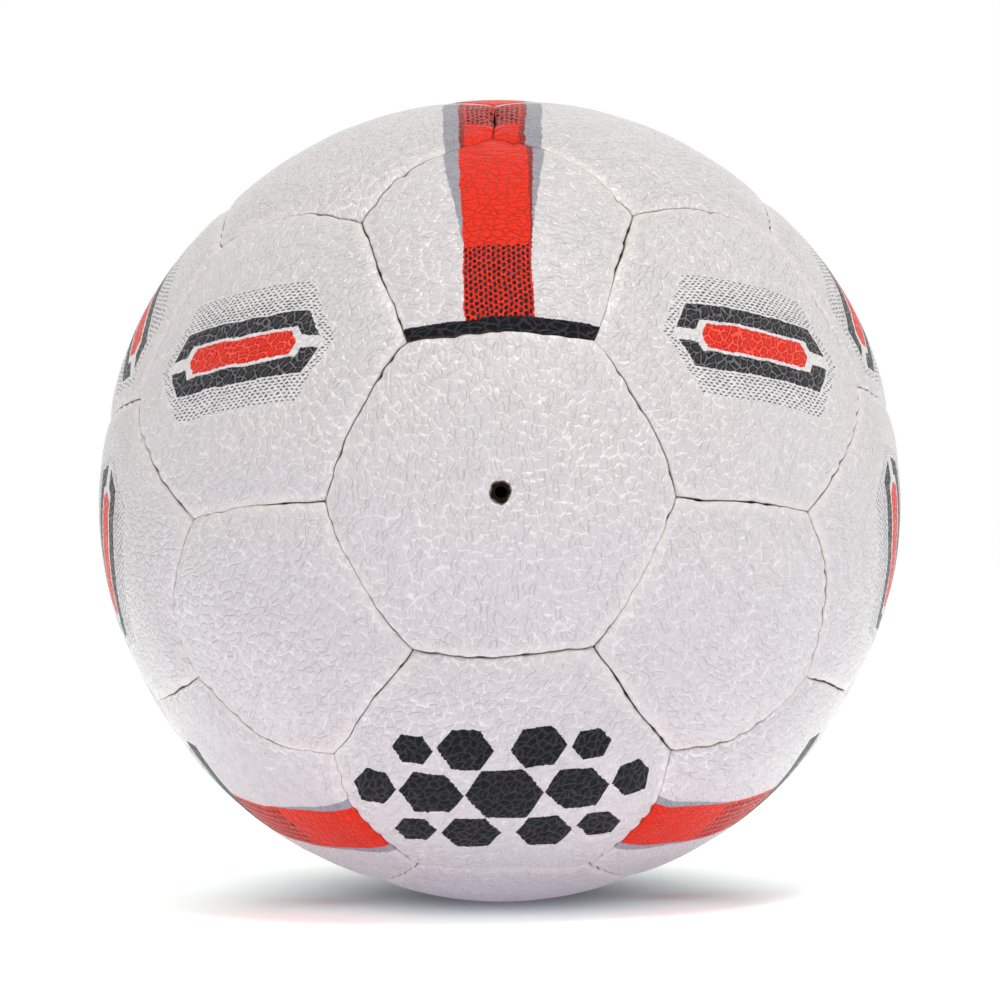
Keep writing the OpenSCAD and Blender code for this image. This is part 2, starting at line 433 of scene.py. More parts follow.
@dataclass(frozen=True)
class HoleForm:
    """The punched rim of the valve's hole, in millimetres.

    Attributes:
        ring_step: Width of the fine rings round it.
        round_over: Width of its rounded rim.
        round_drop: How far the rim falls.
        dip: Depth and reach of the fall round it.
        squared_from: Distance at which the rings are the panel's shape again.
        round_to: Distance within which they are round.
        ragged: Wavelength, seed and size of its unevenness.
        ragged_reach: How far that is felt.
        frayed_reach: How far the leather is frayed.
    """

    ring_step: float = 0.12
    round_over: float = 0.36
    round_drop: float = 0.32
    dip: Pair = (0.22, 1.3)
    squared_from: float = 9.0
    round_to: float = 2.0
    ragged: tuple[tuple[float, int, float], ...] = ((1.2, 41, 0.085), (4.0, 42, 0.05))
    ragged_reach: float = 0.5
    frayed_reach: float = 0.42


@dataclass
class PanelShape:
    """The form of one kind of panel, with its face, turned-in edges and back.

    Attributes:
        sides: Number of edges.
        tilt: Angle from its middle to the middle of its edges.
        cuts: Cuts of each edge of the first grid.
        hole_rings: Rings left out in the middle for the valve's hole.
        roll_rings: Fine rings beside the seams.
        rim_rings: Fine rings round the hole.
        seam: The form of its seams.
        hole: The form of the hole.
        mesh: The flat mesh that every panel of this kind starts from.
    """

    sides: int
    tilt: float
    cuts: int
    hole_rings: int = 0
    roll_rings: int = 9
    rim_rings: int = 4
    seam: SeamForm = SeamForm()
    hole: HoleForm = HoleForm()
    mesh: bpy.types.Mesh = field(init=False)

    def __post_init__(self) -> None:
        """Works out the crown, builds the flat mesh and draws the irregular fields."""
        self.tau = math.radians(self.tilt)
        self.inner_share = math.cos(math.pi / self.sides)
        self.reach = SIZES.radius * self.tau
        edge_r = SIZES.radius - SIZES.crown
        self.shift = (SIZES.radius**2 - edge_r**2) / (2 * (SIZES.radius - edge_r * math.cos(self.tau)))
        self.crown_r = SIZES.radius - self.shift
        self.row_angles = self._row_angles()
        self.mesh = self._flat_mesh()
        count = len(self.mesh.vertices)
        flat = np.empty(count * 3, np.float32)
        self.mesh.vertices.foreach_get("co", flat)
        self.flat = flat.reshape(-1, 3)[:, :2].astype(float)
        layer = np.empty(count, np.int32)
        self.mesh.attributes["layer"].data.foreach_get("value", layer)
        self.layer = layer
        fields = [Waves(length, seed) for length, seed in self.seam.fields]
        self.puckers, self.gapes, self.ripples, self.closing = fields
        self.slit = self.seam.slit_at.direction() * SIZES.radius
        self.half_edge = self.reach * math.tan(math.pi / self.sides)

    def _row_angles(self) -> np.ndarray:
        """Spaces the rings of the face, close together at the seams and the hole.

        Returns:
            The angle of each ring from the panel's middle.
        """
        rings = self.cuts + 1
        steps = np.arange(self.roll_rings + 1) / self.roll_rings * np.pi / 2
        from_seam = SIZES.edge_zone * (1 - np.sin(steps)) + SIZES.seam_gap / 2
        roll = self.tau - np.arcsin(from_seam / SIZES.radius)
        start = SIZES.valve_hole / 2 / SIZES.radius if self.hole_rings else 0.0
        plain = np.linspace(start, roll[0], rings - self.roll_rings - self.hole_rings + 1)
        if self.hole_rings:
            rim = start + np.arange(self.rim_rings) * self.hole.ring_step / SIZES.radius
            rest = len(plain) - self.rim_rings
            plain = np.concatenate([rim, np.linspace(rim[-1], roll[0], rest + 1)[1:]])
        return np.concatenate([np.zeros(self.hole_rings), plain, roll[1:]])

    def _flat_mesh(self) -> bpy.types.Mesh:
        """Builds the grid of the face and the rings behind it.

        Returns:
            A flat closed mesh whose vertices know their layer.
        """
        bm = bmesh.new()
        layer = bm.verts.layers.int.new("layer")
        bmesh.ops.create_circle(bm, cap_ends=True, cap_tris=True, segments=self.sides, radius=1)
        turn = Matrix.Rotation(math.pi / self.sides + self._corner_offset(bm), 3, "Z")
        bmesh.ops.rotate(bm, verts=bm.verts, matrix=turn)
        bmesh.ops.subdivide_edges(bm, edges=bm.edges[:], cuts=self.cuts, use_grid_fill=True)
        outer = [e for e in bm.edges if e.is_boundary]
        hole = self._open_hole(bm) if self.hole_rings else []
        for number in range(Layer.WALL_END, BACK[-1] + 1):
            outer = self._grown(bm, outer, layer, number)
        if hole:
            hole = self._grown(bm, hole, layer, Layer.HOLE_END)
            bmesh.ops.bridge_loops(bm, edges=outer + hole)
        else:
            ring = list({v for e in outer for v in e.verts})
            bmesh.ops.pointmerge(bm, verts=ring, merge_co=(0, 0, 0))
        for face in bm.faces:
            face.smooth = True
        mesh = bpy.data.meshes.new(f"flat_{self.sides}_{self.hole_rings}")
        bm.to_mesh(mesh)
        bm.free()
        return mesh

    @staticmethod
    def _corner_offset(bm: bmesh.types.BMesh) -> float:
        """Returns the turn that puts the circle's first corner on the x axis."""
        corner = max(bm.verts, key=lambda v: v.co.length)
        return -math.atan2(corner.co.y, corner.co.x)

    def _ring_of(self, flat: np.ndarray) -> np.ndarray:
        """Measures how far out flat points lie.

        Args:
            flat: Points of the flat mesh.

        Returns:
            Their share of the way from the middle to the edge.
        """
        turns = np.arange(self.sides) * 2 * np.pi / self.sides
        outward = np.stack([np.cos(turns), np.sin(turns)])
        return (flat @ outward).max(1) / self.inner_share

    def _open_hole(self, bm: bmesh.types.BMesh) -> list[bmesh.types.BMEdge]:
        """Deletes the middle of the face.

        Args:
            bm: The face's grid.

        Returns:
            The edges of the hole.
        """
        flat = np.array([v.co.xy for v in bm.verts])
        rings = np.rint(self._ring_of(flat) * (self.cuts + 1))
        inside = [v for v, ring in zip(list(bm.verts), rings) if ring < self.hole_rings]
        bmesh.ops.delete(bm, geom=inside, context="VERTS")
        limit = (self.hole_rings + 1) / (self.cuts + 1)
        return [e for e in bm.edges if e.is_boundary and e.verts[0].co.length < limit]

    @staticmethod
    def _grown(bm: bmesh.types.BMesh, edges: list, layer: object, number: int) -> list:
        """Extrudes a loop of edges.

        Args:
            bm: The mesh.
            edges: The loop.
            layer: The mesh's layer of numbers.
            number: Number that the new vertices get.

        Returns:
            The new loop's edges.
        """
        made = bmesh.ops.extrude_edge_only(bm, edges=edges)["geom"]
        for item in made:
            if isinstance(item, bmesh.types.BMVert):
                item[layer] = number
        return [e for e in made if isinstance(e, bmesh.types.BMEdge) and e.is_boundary]

    def _plane_distances(self, points: np.ndarray) -> tuple[np.ndarray, np.ndarray]:
        """Measures points against the seams' planes.

        Args:
            points: Points in the panel's own axes.

        Returns:
            The distance inward from each seam's plane, and the distance along
            the nearest seam from its middle.
        """
        turns = np.arange(self.sides) * 2 * np.pi / self.sides
        cos_t, sin_t = math.cos(self.tau), math.sin(self.tau)
        outward = np.stack([np.cos(turns) * cos_t, np.sin(turns) * cos_t, np.full(self.sides, -sin_t)])
        middle = np.stack([np.cos(turns) * sin_t, np.sin(turns) * sin_t, np.full(self.sides, cos_t)])
        along = np.stack([-np.sin(turns), np.cos(turns), np.zeros(self.sides)])
        inward = -(points @ outward)
        nearest = inward.argmin(1)
        pick = np.arange(len(points))
        reach = np.arctan2((points @ along)[pick, nearest], (points @ middle)[pick, nearest])
        return inward, reach * SIZES.radius

    def _corner_cut(self, along: np.ndarray) -> np.ndarray:
        """Rounds the corners.

        Args:
            along: Distances along a seam from its middle.

        Returns:
            How far the rounded corner lies inside the sharp one.
        """
        radius = self.seam.corner_round
        span = radius * math.tan(math.pi / self.sides)
        past = np.clip(span - (self.half_edge * CORNER_SHARE - np.abs(along)), 0, span)
        return radius - np.sqrt(radius**2 - past**2)

    def _crown(self, directions: np.ndarray, depth: float) -> np.ndarray:
        """Finds the panel's crown.

        Args:
            directions: Unit vectors in the panel's own axes.
            depth: Depth below the crown.

        Returns:
            The distances from the ball's centre out to it.
        """
        lift = directions[:, 2]
        inner = (self.crown_r - depth) ** 2 - self.shift**2 * (1 - lift**2)
        return self.shift * lift + np.sqrt(inner)

    def built(self, turn: np.ndarray) -> tuple[np.ndarray, dict[str, np.ndarray], np.ndarray]:
        """Shapes the panel.

        Args:
            turn: The panel's place as a 3 by 3 turn.

        Returns:
            Points in the ball's frame in millimetres, the numbers that the
            leather reads at each point, and flat coordinates of the panel in
            millimetres.
        """
        share = np.clip(self._ring_of(self.flat), 1e-9, 1)
        ring = np.rint(share * (self.cuts + 1)).astype(int)
        sharp = self.flat / share[:, None]
        angle = self.row_angles[np.clip(ring, 0, len(self.row_angles) - 1)]
        angle = self._back_angles(angle)
        if self.hole_rings:
            length = np.linalg.norm(sharp, axis=1)[:, None]
            away = angle * SIZES.radius
            near_hole = smoothstep(self.hole.squared_from, self.hole.round_to, away)[:, None]
            sharp = sharp * (1 - near_hole) + sharp / length * self.inner_share * near_hole
        spread = np.tan(angle)[:, None] / self.inner_share
        base = np.column_stack([sharp * spread, np.ones(len(angle))])
        base /= np.linalg.norm(base, axis=1)[:, None]
        inward, along = self._plane_distances(base * SIZES.radius)
        nearest = inward.min(1)
        at_edge = smoothstep(self.seam.gape_depth, 0.0, nearest)
        world = (base * SIZES.radius) @ turn.T
        opened = smoothstep(*self.seam.opening, self.closing.at(world))
        slit = fading(np.linalg.norm(world - self.slit, axis=1), 1, self.seam.slit_reach)
        gape = self.seam.gape + self.seam.stitch_gape * self._stitch_pulls(along, self.seam.gape_reach)
        gape = gape * smoothstep(*self.seam.gaping, self.gapes.at(world)) * opened
        gape = gape + self.seam.slit_gape * slit
        pull_in = (self._corner_cut(along) + gape) * at_edge
        spread = spread * (1 - pull_in / self.reach)[:, None]
        out = np.column_stack([sharp * spread, np.ones(len(angle))])
        out /= np.linalg.norm(out, axis=1)[:, None]
        inward, along = self._plane_distances(out * SIZES.radius)
        depth_in = -CORNER_SOFTNESS * np.log(np.exp(-np.maximum(inward, 0) / CORNER_SOFTNESS).sum(1))
        from_seam = np.clip(depth_in - SIZES.seam_gap / 2 - gape * at_edge, 0, None)
        radius = self._crown(out, 0) - self._face_drop(from_seam, along, world, opened)
        radius -= slit * fading(from_seam, *self.seam.slit_dip)
        radius = self._closed_back(radius, out)
        if self.hole_rings:
            out, radius = self._hole_rim(out, radius, angle)
        points = (out * radius[:, None]) @ turn.T
        lean = np.arccos(np.clip(out[:, 2], -1, 1)) / np.maximum(np.hypot(out[:, 0], out[:, 1]), 1e-9)
        flat_mm = out[:, :2] * (lean * SIZES.radius)[:, None]
        numbers = {
            "from_seam": np.where(self.layer == Layer.FACE, nearest, 0),
            "opened": np.maximum(opened, slit),
            "cut": np.where(self.layer == Layer.HOLE_END, 1.0, 0.0),
        }
        if self.hole_rings:
            past = angle * SIZES.radius - SIZES.valve_hole / 2
            frayed = fading(past, 1, self.hole.frayed_reach)
            numbers["frayed"] = np.where(self.layer == Layer.FACE, frayed, 0)
        return points, numbers, flat_mm

    def _back_angles(self, angle: np.ndarray) -> np.ndarray:
        """Sets the angles of the turned-in edge and the back.

        Args:
            angle: Angles from the panel's middle, as if all were on its face.

        Returns:
            The angles with those of the rings behind the face.
        """
        inner = self.tau - (SIZES.skin + SIZES.seam_gap / 2) / SIZES.radius
        angle = np.where(np.isin(self.layer, (Layer.INNER_END, Layer.INNER_TOP)), inner, angle)
        least = SIZES.valve_hole / 2 / SIZES.radius if self.hole_rings else 0.0
        for step, number in enumerate(BACK, 1):
            shrunk = inner + (least - inner) * step / len(BACK)
            angle = np.where(self.layer == number, shrunk, angle)
        if not self.hole_rings:
            angle = np.where((self.layer != Layer.FACE) & (np.abs(self.flat).max(1) < 1e-6), 0, angle)
        return angle

    @staticmethod
    def _stitch_pulls(along: np.ndarray, reach: float) -> np.ndarray:
        """Returns 1 at each stitch and less beside it, by distances along a seam."""
        places = (np.arange(SIZES.stitches) - (SIZES.stitches - 1) / 2) * SIZES.stitch_pitch
        return fading(along[:, None] - places, 1, reach).sum(1)

    def _face_drop(
        self, from_seam: np.ndarray, along: np.ndarray, world: np.ndarray, opened: np.ndarray
    ) -> np.ndarray:
        """Measures how far the rolled edge and the thread's pull take the face in.

        Args:
            from_seam: Distances from the seam.
            along: Distances along it from its middle.
            world: Points on the ball, for the irregular fields.
            opened: How open the seam is there, from 0 to 1.

        Returns:
            The drops in millimetres.
        """
        form = self.seam
        roll = form.roll_tight + (form.roll_open - form.roll_tight) * opened
        short = np.clip(roll - from_seam, 0, roll)
        drop = roll - np.sqrt(np.clip(roll**2 - short**2, 0, None))
        to_corner = np.hypot(self.half_edge - np.abs(along), from_seam)
        pulls = self._stitch_pulls(along, form.stitch_reach)
        pulls = pulls * np.clip(form.pull[0] + form.pull[1] * self.puckers.at(world), *form.pull_limits)
        drop += sum(fading(from_seam, *dip) for dip in form.edge_dips)
        drop += sum(fading(to_corner, *dip) for dip in form.corner_dips)
        drop += pulls * sum(fading(from_seam, *dip) for dip in form.stitch_dips)
        drop += form.ripple * self.ripples.at(world) * smoothstep(0, form.ripple_from, from_seam)
        return np.maximum(drop, 0)

    def _closed_back(self, radius: np.ndarray, out: np.ndarray) -> np.ndarray:
        """Sets the distances out of the turned-in edge and the back.

        Args:
            radius: Distances from the ball's centre, as if all were on the face.
            out: Unit vectors in the panel's own axes.

        Returns:
            The distances with those of the rings behind the face.
        """
        at_end = np.isin(self.layer, (Layer.WALL_END, Layer.INNER_END))
        radius = np.where(at_end, SIZES.flange_end, radius)
        behind = self._crown(out, SIZES.skin)
        return np.where(np.isin(self.layer, (Layer.INNER_TOP, Layer.HOLE_END, *BACK)), behind, radius)

    def _hole_rim(
        self, out: np.ndarray, radius: np.ndarray, angle: np.ndarray
    ) -> tuple[np.ndarray, np.ndarray]:
        """Roughens and softens the rim of the valve's hole.

        Args:
            out: Unit vectors in the panel's own axes.
            radius: Distances from the ball's centre.
            angle: Angles from the panel's middle.

        Returns:
            The unit vectors and the distances with the rim's form.
        """
        form = self.hole
        on_ball = out * SIZES.radius
        past = angle * SIZES.radius - SIZES.valve_hole / 2
        drop = form.round_drop * smoothstep(form.round_over, 0.0, past) + fading(past, *form.dip)
        radius = np.where(self.layer == Layer.FACE, radius - drop, radius)
        rough = sum(Waves(length, seed).at(on_ball) * size for length, seed, size in form.ragged)
        near = rough * fading(past, 1, form.ragged_reach) / SIZES.radius
        side = out.copy()
        side[:, :2] *= (1 + near / np.maximum(angle, 1e-3))[:, None]
        return side / np.linalg.norm(side, axis=1)[:, None], radius


# Finishes


UV_UNIT = 100.0
RGBA = tuple[float, float, float, float]


class Graph:
    """Adds nodes to one tree and joins them, so that patterns read as sums."""

    def __init__(self, owner: bpy.types.Material | bpy.types.World) -> None:
        """Starts with an empty node tree.

        Args:
            owner: The material or world whose tree it is.
        """
        owner.use_nodes = True
        self.owner = owner
        self.tree = owner.node_tree
        self.tree.nodes.clear()

    def node(self, kind: str, inputs: dict | None = None, **settings: object) -> bpy.types.Node:
        """Adds a node, sets it and fills or links its inputs.

        Args:
            kind: Type of the node, such as ShaderNodeMath.
            inputs: Values or sockets by input name or number.
            **settings: Properties of the node.

        Returns:
            The node.
        """
        made = self.tree.nodes.new(kind)
        for key, value in settings.items():
            setattr(made, key, value)
        for key, value in (inputs or {}).items():
            if isinstance(value, bpy.types.NodeSocket):
                self.tree.links.new(value, made.inputs[key])
            else:
                made.inputs[key].default_value = value
        return made

    def math(self, operation: str, *values: object, clamp: bool = False) -> bpy.types.NodeSocket:
        """Returns the result of one sum on numbers or sockets."""
        made = self.node("ShaderNodeMath", dict(enumerate(values)), operation=operation, use_clamp=clamp)
        return made.outputs[0]

    def _folded(self, operation: str, values: tuple) -> bpy.types.NodeSocket:
        """Joins values by one operation, from the left.

        Args:
            operation: The sum's name.
            values: Two or more numbers or sockets.

        Returns:
            The result's socket.
        """
        total = values[0]
        for value in values[1:]:
            total = self.math(operation, total, value)
        return total

    def add(self, *values: object) -> bpy.types.NodeSocket:
        """Returns the sum of two or more values."""
        return self._folded("ADD", values)

    def times(self, *values: object) -> bpy.types.NodeSocket:
        """Returns the product of two or more values."""
        return self._folded("MULTIPLY", values)

    def less(self, a: object, b: object) -> bpy.types.NodeSocket:
        """Returns a minus b."""
        return self.math("SUBTRACT", a, b)

    def both(self, *distances: object) -> bpy.types.NodeSocket:
        """Returns the largest value: the signed distance of what all the shapes cover."""
        return self._folded("MAXIMUM", distances)

    def either(self, *distances: object) -> bpy.types.NodeSocket:
        """Returns the smallest value: the signed distance of what any of the shapes covers."""
        return self._folded("MINIMUM", distances)

    def size(self, value: object) -> bpy.types.NodeSocket:
        """Returns the value without its sign."""
        return self.math("ABSOLUTE", value)

    def rise(
        self, value: object, low: float, high: float, to_low: float = 0.0, to_high: float = 1.0
    ) -> bpy.types.NodeSocket:
        """Adds a smooth step.

        Args:
            value: What it goes by.
            low: Value at which it starts.
            high: Value at which it ends, which may be the lower.
            to_low: Result at the start.
            to_high: Result at the end.

        Returns:
            The result's socket.
        """
        made = self.node(
            "ShaderNodeMapRange",
            {"Value": value, "From Min": low, "From Max": high, "To Min": to_low, "To Max": to_high},
            interpolation_type="SMOOTHSTEP",
        )
        return made.outputs[0]

    def inked(self, distance: object, soft: float = 0.09) -> bpy.types.NodeSocket:
        """Returns 1 inside a shape and 0 outside, with a thin soft edge in millimetres."""
        return self.math("MULTIPLY_ADD", distance, -1 / soft, 0.5, clamp=True)

    def blend(self, share: object, first: object, second: object) -> bpy.types.NodeSocket:
        """Returns a colour between two colours."""
        made = self.node("ShaderNodeMix", {0: share, 6: first, 7: second}, data_type="RGBA")
        return made.outputs[2]

    def vector(self, operation: str, *values: object) -> bpy.types.NodeSocket:
        """Adds one sum on vectors.

        Args:
            operation: The sum's name.
            *values: Vectors or sockets, and the factor of a SCALE.

        Returns:
            The vector's socket.
        """
        made = self.node("ShaderNodeVectorMath", operation=operation)
        for number, value in enumerate(values):
            slot = made.inputs["Scale"] if operation == "SCALE" and number else made.inputs[number]
            if isinstance(value, bpy.types.NodeSocket):
                self.tree.links.new(value, slot)
            else:
                slot.default_value = value
        return made.outputs[0]

    def noise(self, at: object, scale: float, detail: float = 2.0, rough: float = 0.5) -> bpy.types.Node:
        """Returns a noise node at some coordinates."""
        values = {"Vector": at, "Scale": scale, "Detail": detail, "Roughness": rough}
        return self.node("ShaderNodeTexNoise", values)

    def cells(self, at: object, scale: float, feature: str) -> bpy.types.Node:
        """Returns a flat Voronoi node at some coordinates."""
        values = {"Vector": at, "Scale": scale}
        return self.node("ShaderNodeTexVoronoi", values, feature=feature, voronoi_dimensions="2D")

    def uv(self, name: str) -> bpy.types.NodeSocket:
        """Returns a UV map in millimetres of the panel."""
        made = self.node("ShaderNodeUVMap", uv_map=name)
        return self.vector("SCALE", made.outputs[0], UV_UNIT)

    def attribute(self, name: str) -> bpy.types.NodeSocket:
        """Returns a number kept on the mesh."""
        return self.node("ShaderNodeAttribute", attribute_name=name).outputs["Fac"]

    def objects(self) -> bpy.types.NodeSocket:
        """Returns the position on the object in millimetres."""
        made = self.node("ShaderNodeTexCoord")
        return self.vector("SCALE", made.outputs["Object"], 1 / METRE)

    def bumped(self, height: object, depth: float) -> bpy.types.NodeSocket:
        """Returns a normal that reads a height from 0 to 1 over a depth in millimetres."""
        values = {"Strength": 1.0, "Distance": depth * METRE, "Height": height}
        return self.node("ShaderNodeBump", values).outputs[0]

    def background_rays(self) -> bpy.types.NodeSocket:
        """Returns 1 for the rays that show the background: seen, off gloss or through glass."""
        path = self.node("ShaderNodeLightPath").outputs
        return self.both(path["Is Camera Ray"], path["Is Glossy Ray"], path["Is Transmission Ray"])

    def shown_or_lit(self, shown: bpy.types.Node, lit: bpy.types.Node, end: str) -> None:
        """Ends the tree in one shader for the rays that show it and another for the rest.

        Args:
            shown: Shader of the rays that show the background.
            lit: Shader of the rays that light the ball.
            end: Type of the output node.
        """
        mixed = self.node(
            "ShaderNodeMixShader", {0: self.background_rays(), 1: lit.outputs[0], 2: shown.outputs[0]}
        )
        self.node(end, {"Surface": mixed.outputs[0]})

    def finish(self, **inputs: object) -> bpy.types.Material:
        """Ends the tree in a Principled surface.

        Args:
            **inputs: Its inputs, by name in small letters.

        Returns:
            The material.
        """
        named = {
            key.replace("_", " ").title().replace("Ior", "IOR"): value for key, value in inputs.items()
        }
        shader = self.node("ShaderNodeBsdfPrincipled", named)
        self.node("ShaderNodeOutputMaterial", {"Surface": shader.outputs[0]})
        return self.owner


class Print(Enum):
    """What is printed on a panel."""

    BARE = "bare"
    TOP_STRIPE = "top_stripe"
    SEAM_STRIPE = "seam_stripe"
    TAIL_STRIPE = "tail_stripe"
    BADGE = "badge"
    HONEYCOMB = "honeycomb"


class Ink(Enum):
    """The inks of the prints."""

    RED = "red"
    BLACK = "black"
    STRIPE = "stripe"
    SOLID = "solid"
    GREY = "grey"
    MAROON = "maroon"
    SILVER = "silver"
    GROUND = "ground"


@dataclass(frozen=True)
class Inks:
    """Colours of the prints: on a pebble's top, in its crease and on its rim.

    The rim's colour counts by rim_share. The lighter colours in the creases of the black, solid and red
    inks are painted glints.
    """

    black_top: RGBA = (0.046, 0.046, 0.050, 1)
    # Painted glint: lighter black in the creases.
    black_crease_glint: RGBA = (0.150, 0.150, 0.157, 1)
    black_rim: RGBA = (0.006, 0.006, 0.007, 1)
    solid_top: RGBA = (0.0075, 0.0075, 0.0105, 1)
    # Painted glint: lighter solid black in the creases.
    solid_crease_glint: RGBA = (0.026, 0.026, 0.032, 1)
    red_top: RGBA = (0.80, 0.040, 0.022, 1)
    # Painted highlight: lighter red in the creases.
    red_crease_glint: RGBA = (1.0, 0.105, 0.070, 1)
    red_rim: RGBA = (0.50, 0.014, 0.008, 1)
    stripe_top: RGBA = (0.81, 0.032, 0.011, 1)
    stripe_crease: RGBA = (0.62, 0.021, 0.010, 1)
    maroon: RGBA = (0.30, 0.028, 0.022, 1)
    grey: RGBA = (0.34, 0.345, 0.385, 1)
    silver: RGBA = (0.12, 0.12, 0.135, 1)
    ground: RGBA = (0.80, 0.79, 0.785, 1)
    rim_share: float = 0.9

    def colors(self, g: Graph, crease: object, rim: object) -> dict[Ink, object]:
        """Mixes the inks over the grain.

        Args:
            g: The material's graph.
            crease: How far a point is from a crease.
            rim: The rims of the pebbles.

        Returns:
            The colour of each ink.
        """
        edge = g.times(rim, self.rim_share)
        return {
            Ink.RED: g.blend(edge, g.blend(crease, self.red_crease_glint, self.red_top), self.red_rim),
            Ink.BLACK: g.blend(edge, g.blend(crease, self.black_crease_glint, self.black_top), self.black_rim),
            Ink.STRIPE: g.blend(crease, self.stripe_crease, self.stripe_top),
            Ink.SOLID: g.blend(crease, self.solid_crease_glint, self.solid_top),
            Ink.GREY: self.grey,
            Ink.MAROON: self.maroon,
            Ink.SILVER: self.silver,
            Ink.GROUND: self.ground,
        }


@dataclass(frozen=True)
class Grain:
    """The pebbles pressed into the leather.

    Attributes:
        pebble: Size of a pebble in millimetres.
        depth: Height of the whole grain in millimetres.
        swirl: How far its cells are pushed about, in millimetres.
        swirl_scale: Waves of that for each millimetre.
        drawn: How the cells are drawn out along and across the hide.
        finer: How many times smaller the second cells are.
        wall_part: Share of the height in the pebbles' sides.
        dome_part: Share in their domes.
        small_part: Share in the second cells.
        fine_part: Share in the fine noise.
        fine_noise: Scale, detail and roughness of that.
        wall_span: Span of a pebble's side, as a distance from its cell's edge.
        dome_span: Span of its dome, as a distance from its middle.
        small_span: Span of a small pebble's side.
        sheen_span: Span of the sides that shine.
        crease_span: Span from the colour of the crease to that of the pebble.
        rim_spans: Spans over which a printed rim starts and ends.
        calm: Share of the grain left at a seam.
        calm_reach: Distances from the seam between which it comes back.
        stray: How far a print's edge strays, in millimetres.
        stray_crease: How far it strays between crease and pebble.
    """

    pebble: float = 1.6
    depth: float = 0.38
    swirl: float = 2.2
    swirl_scale: float = 0.45
    drawn: Triple = (1.22, 0.8, 1.0)
    finer: float = 2.3
    wall_part: float = 0.50
    dome_part: float = 0.34
    small_part: float = 0.07
    fine_part: float = 0.20
    fine_noise: Triple = (2.8, 3.0, 0.6)
    wall_span: Pair = (0.0, 0.17)
    dome_span: Pair = (0.0, 0.75)
    small_span: Pair = (0.0, 0.2)
    sheen_span: Pair = (0.05, 0.25)
    # crease_span: Span from the colour of the crease to that of the pebble. The lighter crease colours
    # are painted highlight.
    crease_span: Pair = (0.03, 0.15)
    rim_spans: tuple[Pair, ...] = ((0.07, 0.15), (0.17, 0.34))
    calm: float = 0.45
    calm_reach: Pair = (0.2, 2.8)
    stray: float = 0.45
    stray_crease: float = 0.12

    def masks(self, g: Graph, from_seam: object) -> tuple:
        """Adds the grain's nodes.

        Args:
            g: The material's graph.
            from_seam: Distance from the seam in millimetres.

        Returns:
            Its height from 0 to 1, how far a point is from a crease from 0 to
            1, the rims of its pebbles, a slight stray of printed edges in
            millimetres, and the pebbles' sides.
        """
        hide = g.uv("hide")
        swirl = g.noise(hide, self.swirl_scale, 2.0).outputs[1]
        swing = g.vector("SUBTRACT", swirl, (0.5, 0.5, 0.5))
        pushed = g.vector("MULTIPLY_ADD", swing, (self.swirl, self.swirl, 0), hide)
        drawn = g.vector("MULTIPLY", pushed, self.drawn)
        edge = g.cells(drawn, 1 / self.pebble, "DISTANCE_TO_EDGE").outputs["Distance"]
        near = g.cells(drawn, 1 / self.pebble, "F1")
        small = g.cells(pushed, self.finer / self.pebble, "DISTANCE_TO_EDGE").outputs["Distance"]
        chance = g.node("ShaderNodeSeparateColor", {0: near.outputs["Color"]}).outputs[0]
        each = g.math("MULTIPLY_ADD", chance, 0.5, 0.5)
        height = g.add(
            g.times(g.rise(edge, *self.wall_span), each, self.wall_part),
            g.times(g.rise(near.outputs["Distance"], *self.dome_span, 1.0, 0.0), self.dome_part),
            g.times(g.rise(small, *self.small_span), self.small_part),
            g.times(g.noise(hide, *self.fine_noise).outputs[0], self.fine_part),
        )
        wall = g.rise(edge, *self.sheen_span, 1.0, 0.0)
        # Places the crease colours, the lighter of which are painted highlight.
        crease = g.rise(edge, *self.crease_span)
        rim_start, rim_end = self.rim_spans
        rim = g.times(g.rise(edge, *rim_start), g.rise(edge, *rim_end, 1.0, 0.0))
        wavy = g.times(g.less(g.noise(hide, 1.0, 2.0).outputs[0], 0.5), self.stray)
        stray = g.add(wavy, g.times(g.less(crease, 0.8), self.stray_crease))
        calm = g.rise(from_seam, *self.calm_reach, self.calm, 1.0)
        return g.times(height, calm), crease, rim, stray, wall


